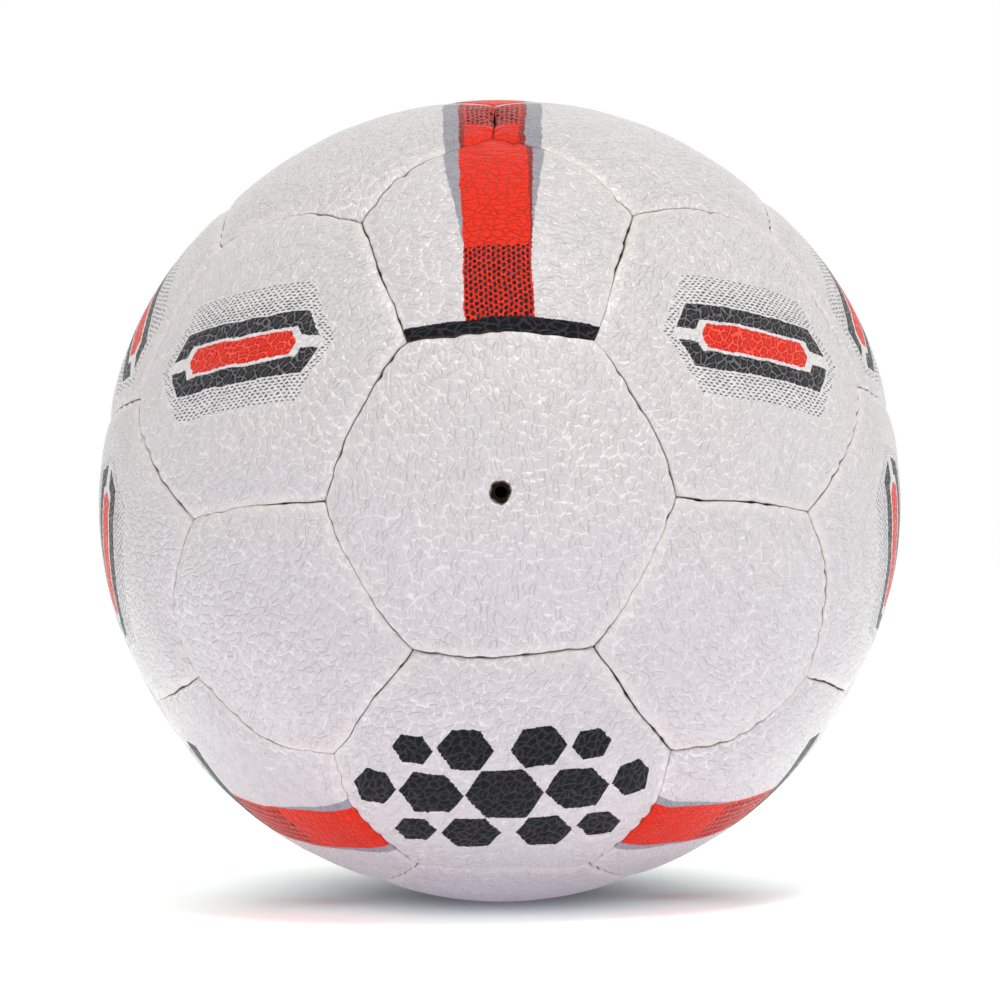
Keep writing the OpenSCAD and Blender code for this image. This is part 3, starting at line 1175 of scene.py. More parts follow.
@dataclass(frozen=True)
class Leather:
    """The grained white synthetic leather of the panels, with its print.

    Attributes:
        white: Colour of the pebbles.
        shade: The second white of its slow changes of tone.
        crease: Colour in the creases, lighter than the pebbles: a painted highlight on their sides.
        cut_edge: Colour of the wall of the valve's hole.
        seam_gap_shade: Dark brown painted in the gap of an open seam: painted shade.
        seam_cream: Colour of the worn edges.
        frayed: Colour of the frayed rim of the hole.
        rough: Roughness of the pebbles.
        wall_rough: What their sides add to it.
        ink_rough: What ink adds to it.
        shine: Specular level of the pebbles.
        wall_shine: What their sides add to it.
        ink_dull: Share of it that ink takes away.
        shade_part: The most that the second white counts.
        tone_scale: Changes of tone for each millimetre.
        tone_span: Tones between which the second white comes in.
        seam_shade_strength: Strength of the painted shade in an open seam.
        seam_shade_reach: Distances from the seam between which it comes in.
        wear: Strength of the worn edges.
        wear_reach: Distances from the seam between which they come in.
        wear_span: Tones between which they come in.
        specks: Scale, detail and roughness of the noise that frays the hole.
        frayed_span: Values between which its rim frays.
        grain: The grain.
        inks: The colours of the prints.
    """

    white: RGBA = (0.622, 0.604, 0.606, 1)
    shade: RGBA = (0.625, 0.612, 0.617, 1)
    # Lighter than the white: painted highlight in the creases.
    crease: RGBA = (0.805, 0.782, 0.765, 1)
    cut_edge: RGBA = (0.22, 0.155, 0.11, 1)
    # Painted shade: dark brown in the gap of an open seam.
    seam_gap_shade: RGBA = (0.17, 0.14, 0.11, 1)
    seam_cream: RGBA = (0.76, 0.72, 0.65, 1)
    frayed: RGBA = (0.13, 0.085, 0.05, 1)
    rough: float = 0.34
    wall_rough: float = -0.07
    ink_rough: float = 0.03
    shine: float = 0.44
    wall_shine: float = 0.45
    ink_dull: float = 0.86
    shade_part: float = 0.5
    tone_scale: float = 0.05
    tone_span: Pair = (0.3, 0.7)
    seam_shade_strength: float = 0.8
    seam_shade_reach: Pair = (0.24, 0.0)
    wear: float = 0.5
    wear_reach: Pair = (2.4, 0.5)
    wear_span: Pair = (0.4, 0.65)
    specks: Triple = (3.2, 3.0, 0.7)
    frayed_span: Pair = (0.95, 1.25)
    grain: Grain = Grain()
    inks: Inks = Inks()

    def material(self, printed: Print) -> bpy.types.Material:
        """Builds the leather with one print.

        Args:
            printed: What is printed on it.

        Returns:
            The material.
        """
        g = Graph(bpy.data.materials.new(f"leather_{printed.value}"))
        from_seam = g.attribute("from_seam")
        height, crease, rim, stray, wall = self.grain.masks(g, from_seam)
        tone = g.noise(g.uv("hide"), self.tone_scale, 2.0).outputs[0]
        # The creases' lighter colour is painted highlight.
        base = g.blend(crease, self.crease, self.white)
        base = g.blend(g.rise(tone, *self.tone_span, 0.0, self.shade_part), base, self.shade)
        worn = g.times(g.rise(from_seam, *self.wear_reach), g.rise(tone, *self.wear_span), self.wear)
        color = base = g.blend(worn, base, self.seam_cream)
        rough = g.add(self.rough, g.times(wall, self.wall_rough))
        shine = g.add(self.shine, g.times(wall, self.wall_shine))
        if printed is not Print.BARE:
            color, cover = self._printed(g, printed, base, (crease, rim, stray))
            rough = g.add(rough, g.times(cover, self.ink_rough))
            shine = g.times(shine, g.less(1.0, g.times(cover, self.ink_dull)))
        # Painted shade in the gap of an open seam.
        seam_shade_strength = g.times(g.rise(from_seam, *self.seam_shade_reach), self.seam_shade_strength, g.attribute("opened"))
        color = g.blend(seam_shade_strength, color, self.seam_gap_shade)
        specks = g.noise(g.objects(), *self.specks).outputs[0]
        frayed = g.rise(g.add(g.attribute("frayed"), specks), *self.frayed_span)
        color = g.blend(frayed, color, self.frayed)
        color = g.blend(g.attribute("cut"), color, self.cut_edge)
        normal = g.bumped(height, self.grain.depth)
        return g.finish(base_color=color, roughness=rough, specular_ior_level=shine, normal=normal)

    def _printed(self, g: Graph, printed: Print, base: object, grain: tuple) -> tuple:
        """Lays the inks of one print over the leather.

        Args:
            g: The material's graph.
            printed: What is printed.
            base: The leather's colour.
            grain: Its creases, rims and stray.

        Returns:
            The colour, and how much of the surface is inked.
        """
        crease, rim, stray = grain
        split = g.node("ShaderNodeSeparateXYZ", {0: g.uv("print")})
        u, v = g.add(split.outputs[0], stray), g.add(split.outputs[1], stray)
        colors = self.inks.colors(g, crease, rim)
        color, cover = base, 0.0
        for ink, share in PRINTS[printed].layers(g, u, v):
            color = g.blend(share, color, colors[ink])
            cover = g.math("MAXIMUM", cover, share)
        return color, cover


def dotted(g: Graph, u: object, v: object, pitch: tuple, dot: tuple) -> bpy.types.NodeSocket:
    """Returns the signed distance of offset rows of oval dots.

    Args:
        g: The material's graph.
        u: Coordinate along the rows.
        v: Coordinate across them.
        pitch: Distance between dots of a row, and between rows.
        dot: Half width and half height of a dot, as values or sockets.

    Returns:
        The signed distance in millimetres.
    """
    row = g.math("FLOOR", g.math("DIVIDE", v, pitch[1]))
    odd = g.math("FLOORED_MODULO", row, 2.0)
    shifted = g.add(u, g.times(odd, pitch[0] / 2))
    in_u = g.less(g.math("FLOORED_MODULO", shifted, pitch[0]), pitch[0] / 2)
    in_v = g.less(g.math("FLOORED_MODULO", v, pitch[1]), pitch[1] / 2)
    far_u = g.math("POWER", g.size(g.math("DIVIDE", in_u, dot[0])), 2.0)
    far_v = g.math("POWER", g.size(g.math("DIVIDE", in_v, dot[1])), 2.0)
    return g.times(g.less(g.math("SQRT", g.add(far_u, far_v)), 1.0), 0.3)


def long_hexagon(g: Graph, u: object, v: object, half_w: float, half_h: float) -> bpy.types.NodeSocket:
    """Returns the signed distance of a hexagon drawn out along u."""
    slant = g.less(g.add(g.size(u), g.times(g.size(v), math.tan(math.radians(30)))), half_w)
    return g.both(g.times(slant, math.cos(math.radians(30))), g.less(g.size(v), half_h))


Layers = list[tuple[Ink, bpy.types.NodeSocket]]
STRIPE_HALF = 6.3
DASH_PITCH = (1.27, 0.61)
# Share of a silver dash's half width that is its half height
DASH_FLATNESS = 0.42
# How far the dots stay inside the sides of a stripe
DOT_MARGIN = 0.3


@dataclass(frozen=True)
class TopStripe:
    """A red stripe up the top pentagon, with grey wedges, dots and a black band at the seam.

    Attributes:
        wedge: Where the grey wedges start and how fast they widen.
        edge: The same of the maroon edge.
        edge_overlap: How far the maroon edge lies under the stripe.
        dot_pitch: Distances between the dots.
        dot: Half width and half height of a dot.
        dots_below: Where the dots end.
        band_below: Where the black band starts.
    """

    wedge: Pair = (-4.0, 0.125)
    edge: Pair = (-10.0, 0.034)
    edge_overlap: float = 0.2
    dot_pitch: Pair = (1.33, 0.89)
    dot: Pair = (0.50, 0.34)
    dots_below: float = -4.6
    band_below: float = -20.4

    def layers(self, g: Graph, u: object, v: object) -> Layers:
        """Draws the print.

        Args:
            g: The material's graph.
            u: Distance across the stripe from its middle.
            v: Distance up it.

        Returns:
            The inks in their order, with how much each covers.
        """
        side = g.size(u)
        past = g.less(side, STRIPE_HALF)
        wedge = g.times(g.less(v, self.wedge[0]), self.wedge[1])
        grey = g.both(g.less(past, wedge), g.less(self.wedge[0], v))
        narrow = g.times(g.less(v, self.edge[0]), self.edge[1])
        one_side = g.less(STRIPE_HALF - self.edge_overlap, u)
        edge = g.both(g.less(past, narrow), one_side, g.less(self.edge[0], v))
        rows = dotted(g, v, u, self.dot_pitch, self.dot)
        dots = g.both(rows, g.less(v, self.dots_below), g.less(side, STRIPE_HALF - DOT_MARGIN))
        return [
            (Ink.GREY, g.inked(grey)),
            (Ink.MAROON, g.inked(edge)),
            (Ink.STRIPE, g.inked(past)),
            (Ink.SOLID, g.inked(dots)),
            (Ink.SOLID, g.inked(g.less(v, self.band_below))),
        ]


@dataclass(frozen=True)
class SeamStripe:
    """Half a red stripe along a seam, with maroon and wide grey edges and dots.

    Attributes:
        grey_from: Where the grey edge starts, towards the seam.
        maroon_from: Where the maroon edge starts.
        red_from: Where the red starts.
        dots_from: Where the dots start.
        middle: Middle of the stripe's run along the seam.
        half_run: Half of that run.
        dots_run: Ends of the dots' run.
        dot_pitch: Distances between the dots.
        dot: Half width and half height of a dot.
    """

    grey_from: float = 19.3
    maroon_from: float = 22.4
    red_from: float = 23.5
    dots_from: float = 23.8
    middle: float = -7.5
    half_run: float = 19.5
    dots_run: Pair = (-9.0, 10.2)
    dot_pitch: Pair = (2.3, 0.95)
    dot: Pair = (0.95, 0.38)

    def layers(self, g: Graph, u: object, v: object) -> Layers:
        """Draws the print.

        Args:
            g: The material's graph.
            u: Distance towards the seam.
            v: Distance along it.

        Returns:
            The inks in their order, with how much each covers.
        """
        run = g.less(g.size(g.less(v, self.middle)), self.half_run)
        first, last = self.dots_run
        rows = dotted(g, v, u, self.dot_pitch, self.dot)
        dots = g.both(rows, g.less(self.dots_from, u), g.less(first, v), g.less(v, last))
        return [
            (Ink.GREY, g.inked(g.both(g.less(self.grey_from, u), run))),
            (Ink.MAROON, g.inked(g.both(g.less(self.maroon_from, u), run))),
            (Ink.STRIPE, g.inked(g.both(g.less(self.red_from, u), run))),
            (Ink.SOLID, g.inked(dots)),
        ]


@dataclass(frozen=True)
class TailStripe:
    """A red stripe from a seam to a black bar, with dots on it and silver past the bar.

    Attributes:
        wedge: Where the grey wedges start and how fast they widen.
        red_to: Where the red ends.
        dots_run: Ends of the dots' run.
        dot_pitch: Distances between the dots.
        dot: Half width and half height of a dot.
        bar: Middle, half width and half length of the black bar.
        haze_from: Where the silver dashes start.
        haze_to: Where they are smallest.
        haze_side: Half width of their field.
        haze_size: Half width of a dash, from the first to the last.
    """

    wedge: Pair = (-3.0, -0.075)
    red_to: float = 10.4
    dots_run: Pair = (-7.0, 9.8)
    dot_pitch: Pair = (1.6, 1.9)
    dot: Pair = (0.52, 0.62)
    bar: Triple = (12.4, 2.6, 19.0)
    haze_from: float = 15.4
    haze_to: float = 22.0
    haze_side: float = 17.0
    haze_size: Pair = (0.50, 0.20)

    def layers(self, g: Graph, u: object, v: object) -> Layers:
        """Draws the print.

        Args:
            g: The material's graph.
            u: Distance along the stripe, away from the seam.
            v: Distance across it from its middle.

        Returns:
            The inks in their order, with how much each covers.
        """
        side = g.size(v)
        past = g.less(side, STRIPE_HALF)
        wedge = g.times(g.less(u, self.wedge[0]), self.wedge[1])
        grey = g.both(g.less(past, wedge), g.less(u, self.wedge[0]))
        first, last = self.dots_run
        rows = dotted(g, u, v, self.dot_pitch, self.dot)
        dots = g.both(rows, g.less(side, STRIPE_HALF - DOT_MARGIN), g.less(first, u), g.less(u, last))
        middle, half, length = self.bar
        bar = g.both(g.less(g.size(g.less(u, middle)), half), g.less(side, length))
        width = g.rise(u, self.haze_from, self.haze_to, *self.haze_size)
        dashes = dotted(g, v, u, DASH_PITCH, (width, g.times(width, DASH_FLATNESS)))
        haze = g.both(dashes, g.less(self.haze_from, u), g.less(side, self.haze_side))
        return [
            (Ink.GREY, g.inked(grey)),
            (Ink.STRIPE, g.inked(g.both(past, g.less(u, self.red_to)))),
            (Ink.SOLID, g.inked(dots)),
            (Ink.SOLID, g.inked(bar)),
            (Ink.SILVER, g.inked(haze)),
        ]


@dataclass(frozen=True)
class Badge:
    """A red hexagon between two black half hexagons, on a patch of silver dashes.

    Attributes:
        outer: Half width and half height of the black hexagon.
        inner: The same of what is cut out of it.
        parted: Half the gap between its two halves.
        heart: Half width and half height of the red hexagon.
        patch: The same of the patch.
        patch_up: How far the patch's middle lies above the badge's.
        haze_size: Half width of a dash, from the middle to the patch's edge.
        haze_fade: Width of that change.
        haze_gap: Gap between the dashes and the black hexagon.
        ground: Strength of the patch's light ground.
        ground_soft: Width over which the ground fades.
    """

    outer: Pair = (19.0, 6.5)
    inner: Pair = (15.0, 3.25)
    parted: float = 1.3
    heart: Pair = (13.2, 2.6)
    patch: Pair = (21.5, 12.2)
    patch_up: float = 0.4
    haze_size: Pair = (0.50, 0.36)
    haze_fade: float = 8.0
    haze_gap: float = 0.4
    ground: float = 0.6
    ground_soft: float = 2.0

    def layers(self, g: Graph, u: object, v: object) -> Layers:
        """Draws the print.

        Args:
            g: The material's graph.
            u: Distance along the badge from its middle.
            v: Distance across it from its middle.

        Returns:
            The inks in their order, with how much each covers.
        """
        outer = long_hexagon(g, u, v, *self.outer)
        inner = long_hexagon(g, u, v, *self.inner)
        brackets = g.both(outer, g.times(inner, -1.0), g.less(self.parted, g.size(v)))
        patch = long_hexagon(g, u, g.less(v, self.patch_up), *self.patch)
        width = g.rise(patch, -self.haze_fade, 0.0, *self.haze_size)
        dashes = dotted(g, u, v, DASH_PITCH, (width, g.times(width, DASH_FLATNESS)))
        return [
            (Ink.GROUND, g.times(g.inked(patch, self.ground_soft), self.ground)),
            (Ink.SILVER, g.inked(g.both(dashes, patch, g.less(self.haze_gap, outer)))),
            (Ink.BLACK, g.inked(brackets)),
            (Ink.RED, g.inked(long_hexagon(g, u, v, *self.heart))),
        ]


@dataclass(frozen=True)
class Honeycomb:
    """A patch of black hexagons in three rows, the largest in the middle.

    Attributes:
        cells: Distances of a hexagon from the patch's middle, along and up,
            and its half width. Each stands for its mirror images too.
    """

    cells: tuple[Triple, ...] = (
        (0.0, 0.0, 7.6),
        (13.6, 0.0, 5.9),
        (24.2, 0.0, 4.2),
        (6.8, 11.4, 5.4),
        (16.8, 10.6, 3.9),
    )

    def layers(self, g: Graph, u: object, v: object) -> Layers:
        """Draws the print.

        Args:
            g: The material's graph.
            u: Distance along the patch from its middle.
            v: Distance up it from its middle.

        Returns:
            The ink, with how much it covers.
        """
        flat = math.cos(math.radians(30))
        shapes = [
            long_hexagon(g, g.less(g.size(u), along), g.less(g.size(v), up), half, half * flat)
            for along, up, half in self.cells
        ]
        return [(Ink.SOLID, g.inked(g.either(*shapes)))]


PRINTS = {
    Print.TOP_STRIPE: TopStripe(),
    Print.SEAM_STRIPE: SeamStripe(),
    Print.TAIL_STRIPE: TailStripe(),
    Print.BADGE: Badge(),
    Print.HONEYCOMB: Honeycomb(),
}


@dataclass(frozen=True)
class Cloth:
    """A plain woven cloth or a twisted thread, seen close up.

    Attributes:
        name: Name of its material.
        color: Colour of the yarn's top.
        yarn_gap_shade: Colour painted between the yarns, where the weave is low: painted shade.
        yarn_mm: Distance between two yarns in millimetres.
        depth: Height of the weave in millimetres.
        roughness: Its roughness.
        weave_part: Share of the height in the yarns.
        fuzz_part: Share in the fuzz on them.
        shade_span: Heights between which the dark turns to the colour.
    """

    name: str
    color: RGBA
    yarn_gap_shade: RGBA
    yarn_mm: float
    depth: float
    roughness: float = 0.85
    weave_part: float = 0.8
    fuzz_part: float = 0.3
    # shade_span: Heights between which the painted shade turns to the colour.
    shade_span: Pair = (0.3, 0.8)

    def material(self) -> bpy.types.Material:
        """Builds the weave.

        Returns:
            The material.
        """
        g = Graph(bpy.data.materials.new(self.name))
        at = g.objects()
        split = g.node("ShaderNodeSeparateXYZ", {0: at})
        steps = 2 * math.pi / self.yarn_mm
        waves = [g.math("SINE", g.times(along, steps)) for along in split.outputs]
        weave = g.math("MULTIPLY_ADD", g.times(g.add(waves[0], waves[1]), waves[2]), 0.2, 0.5)
        fuzz = g.noise(at, 3.0, 3.0).outputs[0]
        height = g.add(g.times(weave, self.weave_part), g.times(fuzz, self.fuzz_part))
        # Painted shade: darker where the weave is low.
        color = g.blend(g.rise(height, *self.shade_span), self.yarn_gap_shade, self.color)
        return g.finish(base_color=color, roughness=self.roughness, normal=g.bumped(height, self.depth))


@dataclass(frozen=True)
class Rubber:
    """Moulded rubber with a fine skin.

    Attributes:
        name: Name of its material.
        color: Its colour.
        worn: Colour of its marks.
        roughness: Roughness between the marks.
        shine: Specular level.
        marks: Scale, detail and roughness of the marks' noise.
        mark_span: Its values between which they show.
        mark_rough: What they add to the roughness.
        skin_depth: Height of the skin's relief in millimetres.
    """

    name: str
    color: RGBA
    worn: RGBA
    roughness: float
    shine: float = 0.5
    marks: Triple = (0.35, 4.0, 0.6)
    mark_span: Pair = (0.35, 0.7)
    mark_rough: float = 0.15
    skin_depth: float = 0.05

    def material(self) -> bpy.types.Material:
        """Builds the rubber.

        Returns:
            The material.
        """
        g = Graph(bpy.data.materials.new(self.name))
        at = g.objects()
        marks = g.noise(at, *self.marks).outputs[0]
        skin = g.noise(at, 4.5, 2.0).outputs[0]
        color = g.blend(g.rise(marks, *self.mark_span), self.color, self.worn)
        rough = g.rise(marks, 0.3, 0.7, self.roughness, self.roughness + self.mark_rough)
        normal = g.bumped(skin, self.skin_depth)
        return g.finish(base_color=color, roughness=rough, specular_ior_level=self.shine, normal=normal)


# Assemblies


@dataclass(frozen=True)
class PrintPlace:
    """How a print lies on its panel.

    Attributes:
        printed: Which print.
        turn: Angle of its u axis from the panel's x axis.
        shift: Its middle, in the panel's own millimetres.
        hand: 1, or -1 where the print is mirrored.
    """

    printed: Print
    turn: float = 0.0
    shift: Pair = (0.0, 0.0)
    hand: int = 1

    def flat(self, points: np.ndarray) -> np.ndarray:
        """Turns flat points of the panel into the print's own axes.

        Args:
            points: Points in the panel's millimetres.

        Returns:
            The points in the print's.
        """
        a = math.radians(self.turn)
        b = a + self.hand * math.pi / 2
        axes = np.array([[math.cos(a), math.cos(b)], [math.sin(a), math.sin(b)]])
        return (points - np.array(self.shift)) @ axes


BARE = PrintPlace(Print.BARE)
HEX_PRINTS = {
    1: PrintPlace(Print.BADGE, 209.0, (1.9, 0.6)),
    2: PrintPlace(Print.HONEYCOMB, 92.0, (2.4, 0.0)),
    3: PrintPlace(Print.BADGE, -31.0, (1.9, -0.6)),
    4: PrintPlace(Print.SEAM_STRIPE, 300.0),
    5: PrintPlace(Print.BADGE, 30.0, (4.5, -4.0)),
    6: PrintPlace(Print.TAIL_STRIPE, 6.0, (0.0, 4.2)),
    7: PrintPlace(Print.TAIL_STRIPE, -6.0, (0.0, -4.2), -1),
    8: PrintPlace(Print.BADGE, -30.0, (4.5, 4.0), -1),
    9: PrintPlace(Print.SEAM_STRIPE, 60.0, (0.5, 0.9), -1),
}
PENT_PRINTS = {
    1: PrintPlace(Print.TOP_STRIPE, 91.0, (0.0, -0.2)),
    4: PrintPlace(Print.BADGE, -40.0, (0.2, -2.0)),
    6: PrintPlace(Print.BADGE, 40.0, (0.2, 2.0), -1),
    11: PrintPlace(Print.TOP_STRIPE, 90.0, (18.0, 0.0)),
}

# Turns of the grain, which lies the way its panel was cut
HIDE_TURNS = {"valve_panel": 90.0, "pent_panel_01": 0.0}


@dataclass
class Cover:
    """The thirty-two sewn panels.

    Attributes:
        leather: Their finish.
        hex_cuts: Cuts of a hexagon's edges.
        valve_cuts: Cuts of the valve panel's edges.
        pent_cuts: Cuts of a pentagon's edges.
        hole_rings: Rings of the valve panel left out for its hole.
        hide_step: How far apart two panels lie on the hide, in millimetres.
        hide_seed: Seed of the hexagons' first turn on the hide.
        pent_seed: What the pentagons add to it.
        names: The panels made so far.
    """

    leather: Leather = Leather()
    hex_cuts: int = 92
    valve_cuts: int = 95
    pent_cuts: int = 77
    hole_rings: int = 8
    hide_step: Pair = (-70.0, -45.0)
    hide_seed: int = 100
    pent_seed: int = 20
    names: list[str] = field(default_factory=list)

    def build(self) -> None:
        """Builds every panel in place of its CAD node."""
        drift = SeamDrift()
        hexagon = PanelShape(6, HEX_TILT, self.hex_cuts)
        valve = PanelShape(6, HEX_TILT, self.valve_cuts, self.hole_rings)
        pentagon = PanelShape(5, PENT_TILT, self.pent_cuts)
        self.finishes = {printed: self.leather.material(printed) for printed in Print}
        for number, place in enumerate(hexagon_places()):
            node = f"hex_panel_{number:02d}" if number else "valve_panel"
            lie = HEX_PRINTS.get(number % 10, BARE)
            self._panel(hexagon if number else valve, place, node, lie, drift, number)
        for number, place in enumerate(pentagon_places(), 1):
            lie = PENT_PRINTS.get(number, PENT_PRINTS.get(number - 6, BARE))
            self._panel(pentagon, place, f"pent_panel_{number:02d}", lie, drift, self.pent_seed + number)
        LOG.info("cover: %d panels", len(self.names))

    def _panel(
        self, shape: PanelShape, place: Place, node: str, lie: PrintPlace, drift: SeamDrift, seed: int
    ) -> None:
        """Builds one panel.

        Args:
            shape: Its form.
            place: Where it lies.
            node: Name of the CAD node that it stands for.
            lie: Its print and how that lies.
            drift: The drift of the seams.
            seed: Number that sets its place on the hide.
        """
        points, numbers, flat = shape.built(place.matrix())
        mesh = shape.mesh.copy()
        mesh.name = f"{node}_cover"
        mesh.vertices.foreach_set("co", (drift.moved(points) * METRE).astype(np.float32).ravel())
        for kept, values in numbers.items():
            self._numbers(mesh, kept, values)
        hide_turn = HIDE_TURNS.get(node, np.random.default_rng(self.hide_seed + seed).uniform(0, 360))
        hide = PrintPlace(Print.BARE, hide_turn, tuple(step * (seed + 1) for step in self.hide_step))
        corners = np.empty(len(mesh.loops), np.int32)
        mesh.loops.foreach_get("vertex_index", corners)
        for name, where in (("print", lie), ("hide", hide)):
            uv = mesh.uv_layers.new(name=name)
            uv.data.foreach_set("uv", (where.flat(flat)[corners] / UV_UNIT).astype(np.float32).ravel())
        mesh.materials.append(self.finishes[lie.printed])
        mesh.update()
        piece = bpy.data.objects.new(mesh.name, mesh)
        bpy.context.scene.collection.objects.link(piece)
        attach(piece, BODY)
        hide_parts(node)
        self.names.append(piece.name)

    @staticmethod
    def _numbers(mesh: bpy.types.Mesh, name: str, values: np.ndarray) -> None:
        """Keeps one number for each vertex on the mesh."""
        kept = mesh.attributes.new(name, "FLOAT", "POINT")
        kept.data.foreach_set("value", values.astype(np.float32))


@dataclass(frozen=True)
class Inside:
    """The CAD nodes behind the cover, shown with their own finishes."""

    lining: Cloth = Cloth("lining_weave", (0.62, 0.56, 0.44, 1), (0.40, 0.35, 0.27, 1), 0.8, 0.12)
    thread: Cloth = Cloth("thread_twist", (0.46, 0.44, 0.40, 1), (0.25, 0.23, 0.20, 1), 0.45, 0.08)
    bladder: Rubber = Rubber("bladder_skin", (0.018, 0.018, 0.020, 1), (0.035, 0.034, 0.036, 1), 0.55)
    valve: Rubber = Rubber("valve_skin", (0.012, 0.011, 0.011, 1), (0.030, 0.024, 0.020, 1), 0.45)
    plug: Rubber = Rubber("plug_skin", (0.010, 0.008, 0.007, 1), (0.018, 0.013, 0.010, 1), 0.7, 0.15)

    def build(self) -> None:
        """Gives each inner node its finish."""
        finishes = {
            "lining_cloth": (self.lining, ("hex_linings", "pent_linings", "valve_lining")),
            "waxed_thread": (self.thread, ("hex_seam_threads", "pent_seam_threads")),
            "bladder_rubber": (self.bladder, ("bladder",)),
            "valve_rubber": (self.valve, ("valve_body",)),
            "plug_rubber": (self.plug, ("valve_plug",)),
        }
        for slot, (finish, nodes) in finishes.items():
            material = finish.material()
            for name in nodes:
                piece = frame["nodes"][name]
                piece.data.materials.clear()
                piece.data.materials.append(material)
            LOG.info("%s: %s", slot, ", ".join(nodes))


@dataclass(frozen=True)
class Softbox:
    """An area light aimed at the ball.

    Attributes:
        name: Its name.
        at: Its place in metres.
        side: Length of its sides in metres.
        power: Its power in watts.
        color: Its colour.
    """

    name: str
    at: Triple
    side: float
    power: float
    color: Triple

    def build(self) -> None:
        """Adds the light."""
        data = bpy.data.lights.new(self.name, "AREA")
        data.size, data.energy, data.color = self.side, self.power, self.color
        light = bpy.data.objects.new(self.name, data)
        light.location = self.at
        light.rotation_mode = "QUATERNION"
        light.rotation_quaternion = (-Vector(self.at)).to_track_quat("-Z", "Y")
        bpy.context.scene.collection.objects.link(light)


@dataclass(frozen=True)
class Contact:
    """The soft shadow that the background shows round the ball's foot, in millimetres.

    Attributes:
        behind: How far its middle lies behind the ball's.
        before: Share of the distance in front of it that counts.
        beyond: The same behind it.
        skew: How far it leans to the left, for each millimetre back.
        softness: Square of the distance to which its middle is flat.
        ends: Distances at which it starts to fade and has gone.
        strength: Brightness of the paper in it and past it.
    """

    behind: float = 18.0
    before: float = 1.17
    beyond: float = 0.75
    skew: float = 0.08
    softness: float = 0.001
    ends: Pair = (12.0, 80.0)
    strength: Pair = (0.35, 2.12)

    def brightness(self, g: Graph) -> bpy.types.NodeSocket:
        """Adds the shadow's nodes.

        Args:
            g: The floor's graph.

        Returns:
            The brightness of the paper.
        """
        split = g.node("ShaderNodeSeparateXYZ", {0: g.objects()})
        x, y = split.outputs[0], split.outputs[1]
        past = g.less(y, self.behind)
        depth = g.both(g.times(past, self.beyond), g.times(past, -self.before))
        aside = g.add(x, g.times(y, self.skew))
        across = g.math("SQRT", g.add(g.times(aside, aside), g.times(depth, depth), self.softness))
        return g.rise(across, *self.ends, *self.strength)


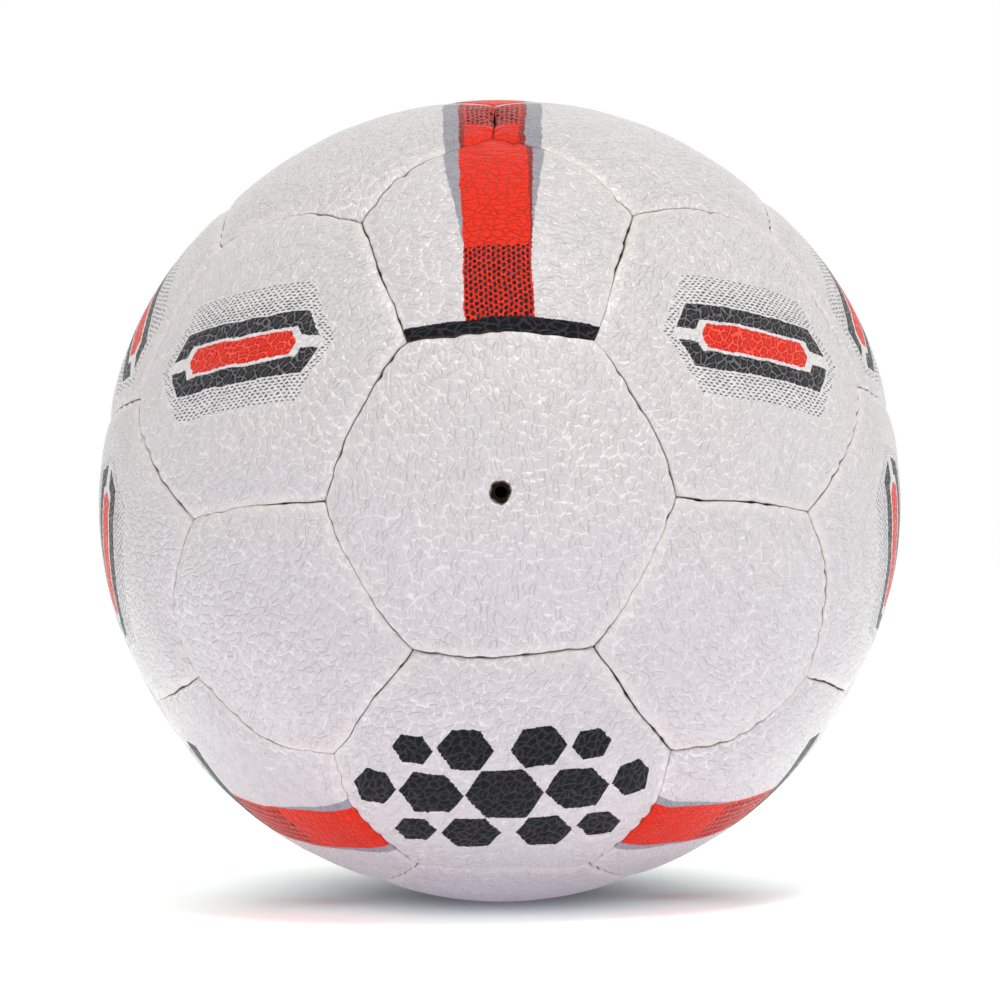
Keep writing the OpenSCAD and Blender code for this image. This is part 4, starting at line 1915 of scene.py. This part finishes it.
@dataclass(frozen=True)
class Studio:
    """A white sweep with soft light from all round.

    Attributes:
        sky: Colour of the sky's light.
        sky_back: Its strength from behind the ball.
        sky_left: The same from the left.
        sky_right: The same from the right.
        shown: Colour of the sky where it is seen.
        floor_radius: Radius of the floor in metres.
        floor: Colour of the floor for the light that it gives back.
        glow: Strength of its own light.
        glow_color: Colour of that.
        paper: Colour of the floor where it is seen.
        contact: The shadow on it.
        lights: The area lights.
    """

    sky: RGBA = (1.0, 0.975, 0.95, 1)
    sky_back: float = 0.80
    sky_left: float = 1.01
    sky_right: float = 0.92
    shown: RGBA = (1, 1, 1, 1)
    floor_radius: float = 12.0
    floor: RGBA = (0.93, 0.905, 0.955, 1)
    glow: float = 0.38
    glow_color: RGBA = (0.95, 0.88, 1.05, 1)
    paper: Triple = (0.845, 0.93, 0.912)
    contact: Contact = Contact()
    lights: tuple[Softbox, ...] = (Softbox("key", (0.16, -0.55, 0.95), 0.30, 7.0, (1.0, 0.98, 0.96)),)

    def build(self) -> None:
        """Builds the floor, the sky and the lights."""
        self._floor()
        self._sky()
        for light in self.lights:
            light.build()
        LOG.info("studio: floor, sky and %d lights", len(self.lights))

    def _floor(self) -> None:
        """Adds the floor just under the ball."""
        bm = bmesh.new()
        bmesh.ops.create_circle(bm, cap_ends=True, segments=96, radius=self.floor_radius)
        bmesh.ops.translate(bm, verts=bm.verts, vec=(0, 0, -SIZES.radius * METRE))
        mesh = bpy.data.meshes.new("floor")
        bm.to_mesh(mesh)
        bm.free()
        floor = bpy.data.objects.new("floor", mesh)
        bpy.context.scene.collection.objects.link(floor)
        g = Graph(bpy.data.materials.new("floor_paint"))
        paper = g.vector("SCALE", self.paper, self.contact.brightness(g))
        shown = g.node("ShaderNodeBsdfDiffuse", {"Color": paper})
        matt = g.node("ShaderNodeBsdfDiffuse", {"Color": self.floor})
        glow = g.node("ShaderNodeEmission", {"Color": self.glow_color, "Strength": self.glow})
        lit = g.node("ShaderNodeAddShader", {0: matt.outputs[0], 1: glow.outputs[0]})
        g.shown_or_lit(shown, lit, "ShaderNodeOutputMaterial")
        mesh.materials.append(g.owner)

    def _sky(self) -> None:
        """Lights the scene from all round and shows white behind it."""
        world = bpy.data.worlds.new("sky")
        bpy.context.scene.world = world
        g = Graph(world)
        heading = g.node("ShaderNodeTexCoord").outputs["Generated"]
        split = g.node("ShaderNodeSeparateXYZ", {0: heading})
        sides = ((1, self.sky_back), (0, self.sky_right), (0, -self.sky_left))
        strength = g.add(*(g.both(g.times(split.outputs[axis], share), 0.0) for axis, share in sides))
        lit = g.node("ShaderNodeBackground", {"Color": self.sky, "Strength": strength})
        shown = g.node("ShaderNodeBackground", {"Color": self.shown})
        g.shown_or_lit(shown, lit, "ShaderNodeOutputWorld")


@dataclass(frozen=True)
class PhotoCamera:
    """The camera of the photograph, level with the ball's middle.

    Attributes:
        distance: From the ball's middle, in metres.
        elevation: Angle by which it looks down.
        azimuth: Angle by which it stands aside.
        roll: Turn about its axis.
        focal_px: Focal length in pixels.
        frame_px: Width of the picture in pixels.
        middle_px: Pixel of the ball's middle, along and down.
        sensor_mm: Width of the sensor.
        clip: Nearest and farthest distance that it sees, in metres.
    """

    distance: float = 0.680
    elevation: float = -1.0
    azimuth: float = 0.2
    roll: float = -0.76
    focal_px: float = 3345.0
    frame_px: float = 1000.0
    middle_px: float = 499.7
    sensor_mm: float = 36.0
    clip: Pair = (0.01, 50.0)

    def build(self) -> None:
        """Adds the camera, aimed so that the ball's middle falls on its pixel."""
        data = bpy.data.cameras.new("photo_camera")
        data.sensor_width = self.sensor_mm
        data.lens = self.focal_px * self.sensor_mm / self.frame_px
        data.shift_x = (self.frame_px / 2 - self.middle_px) / self.frame_px
        data.shift_y = (self.middle_px - self.frame_px / 2) / self.frame_px
        data.clip_start, data.clip_end = self.clip
        e, a = math.radians(self.elevation), math.radians(self.azimuth)
        ahead = Vector((math.sin(a) * math.cos(e), math.cos(a) * math.cos(e), -math.sin(e)))
        camera = bpy.data.objects.new("photo_camera", data)
        camera.location = -ahead * self.distance
        camera.rotation_mode = "QUATERNION"
        level = ahead.to_track_quat("-Z", "Y")
        turn = Matrix.Rotation(math.radians(self.roll), 4, "Z")
        camera.rotation_quaternion = level @ turn.to_quaternion()
        bpy.context.scene.collection.objects.link(camera)
        bpy.context.scene.camera = camera
        LOG.info("camera: %.1f mm lens at %.0f mm", data.lens, self.distance / METRE)


def main() -> None:
    """Builds the ball and its studio, in order."""
    logging.basicConfig(level=logging.INFO, format="%(name)s: %(message)s")
    bpy.context.scene.view_settings.view_transform = "Standard"
    Cover().build()
    Inside().build()
    Studio().build()
    PhotoCamera().build()


if __name__ == "__main__":
    main()
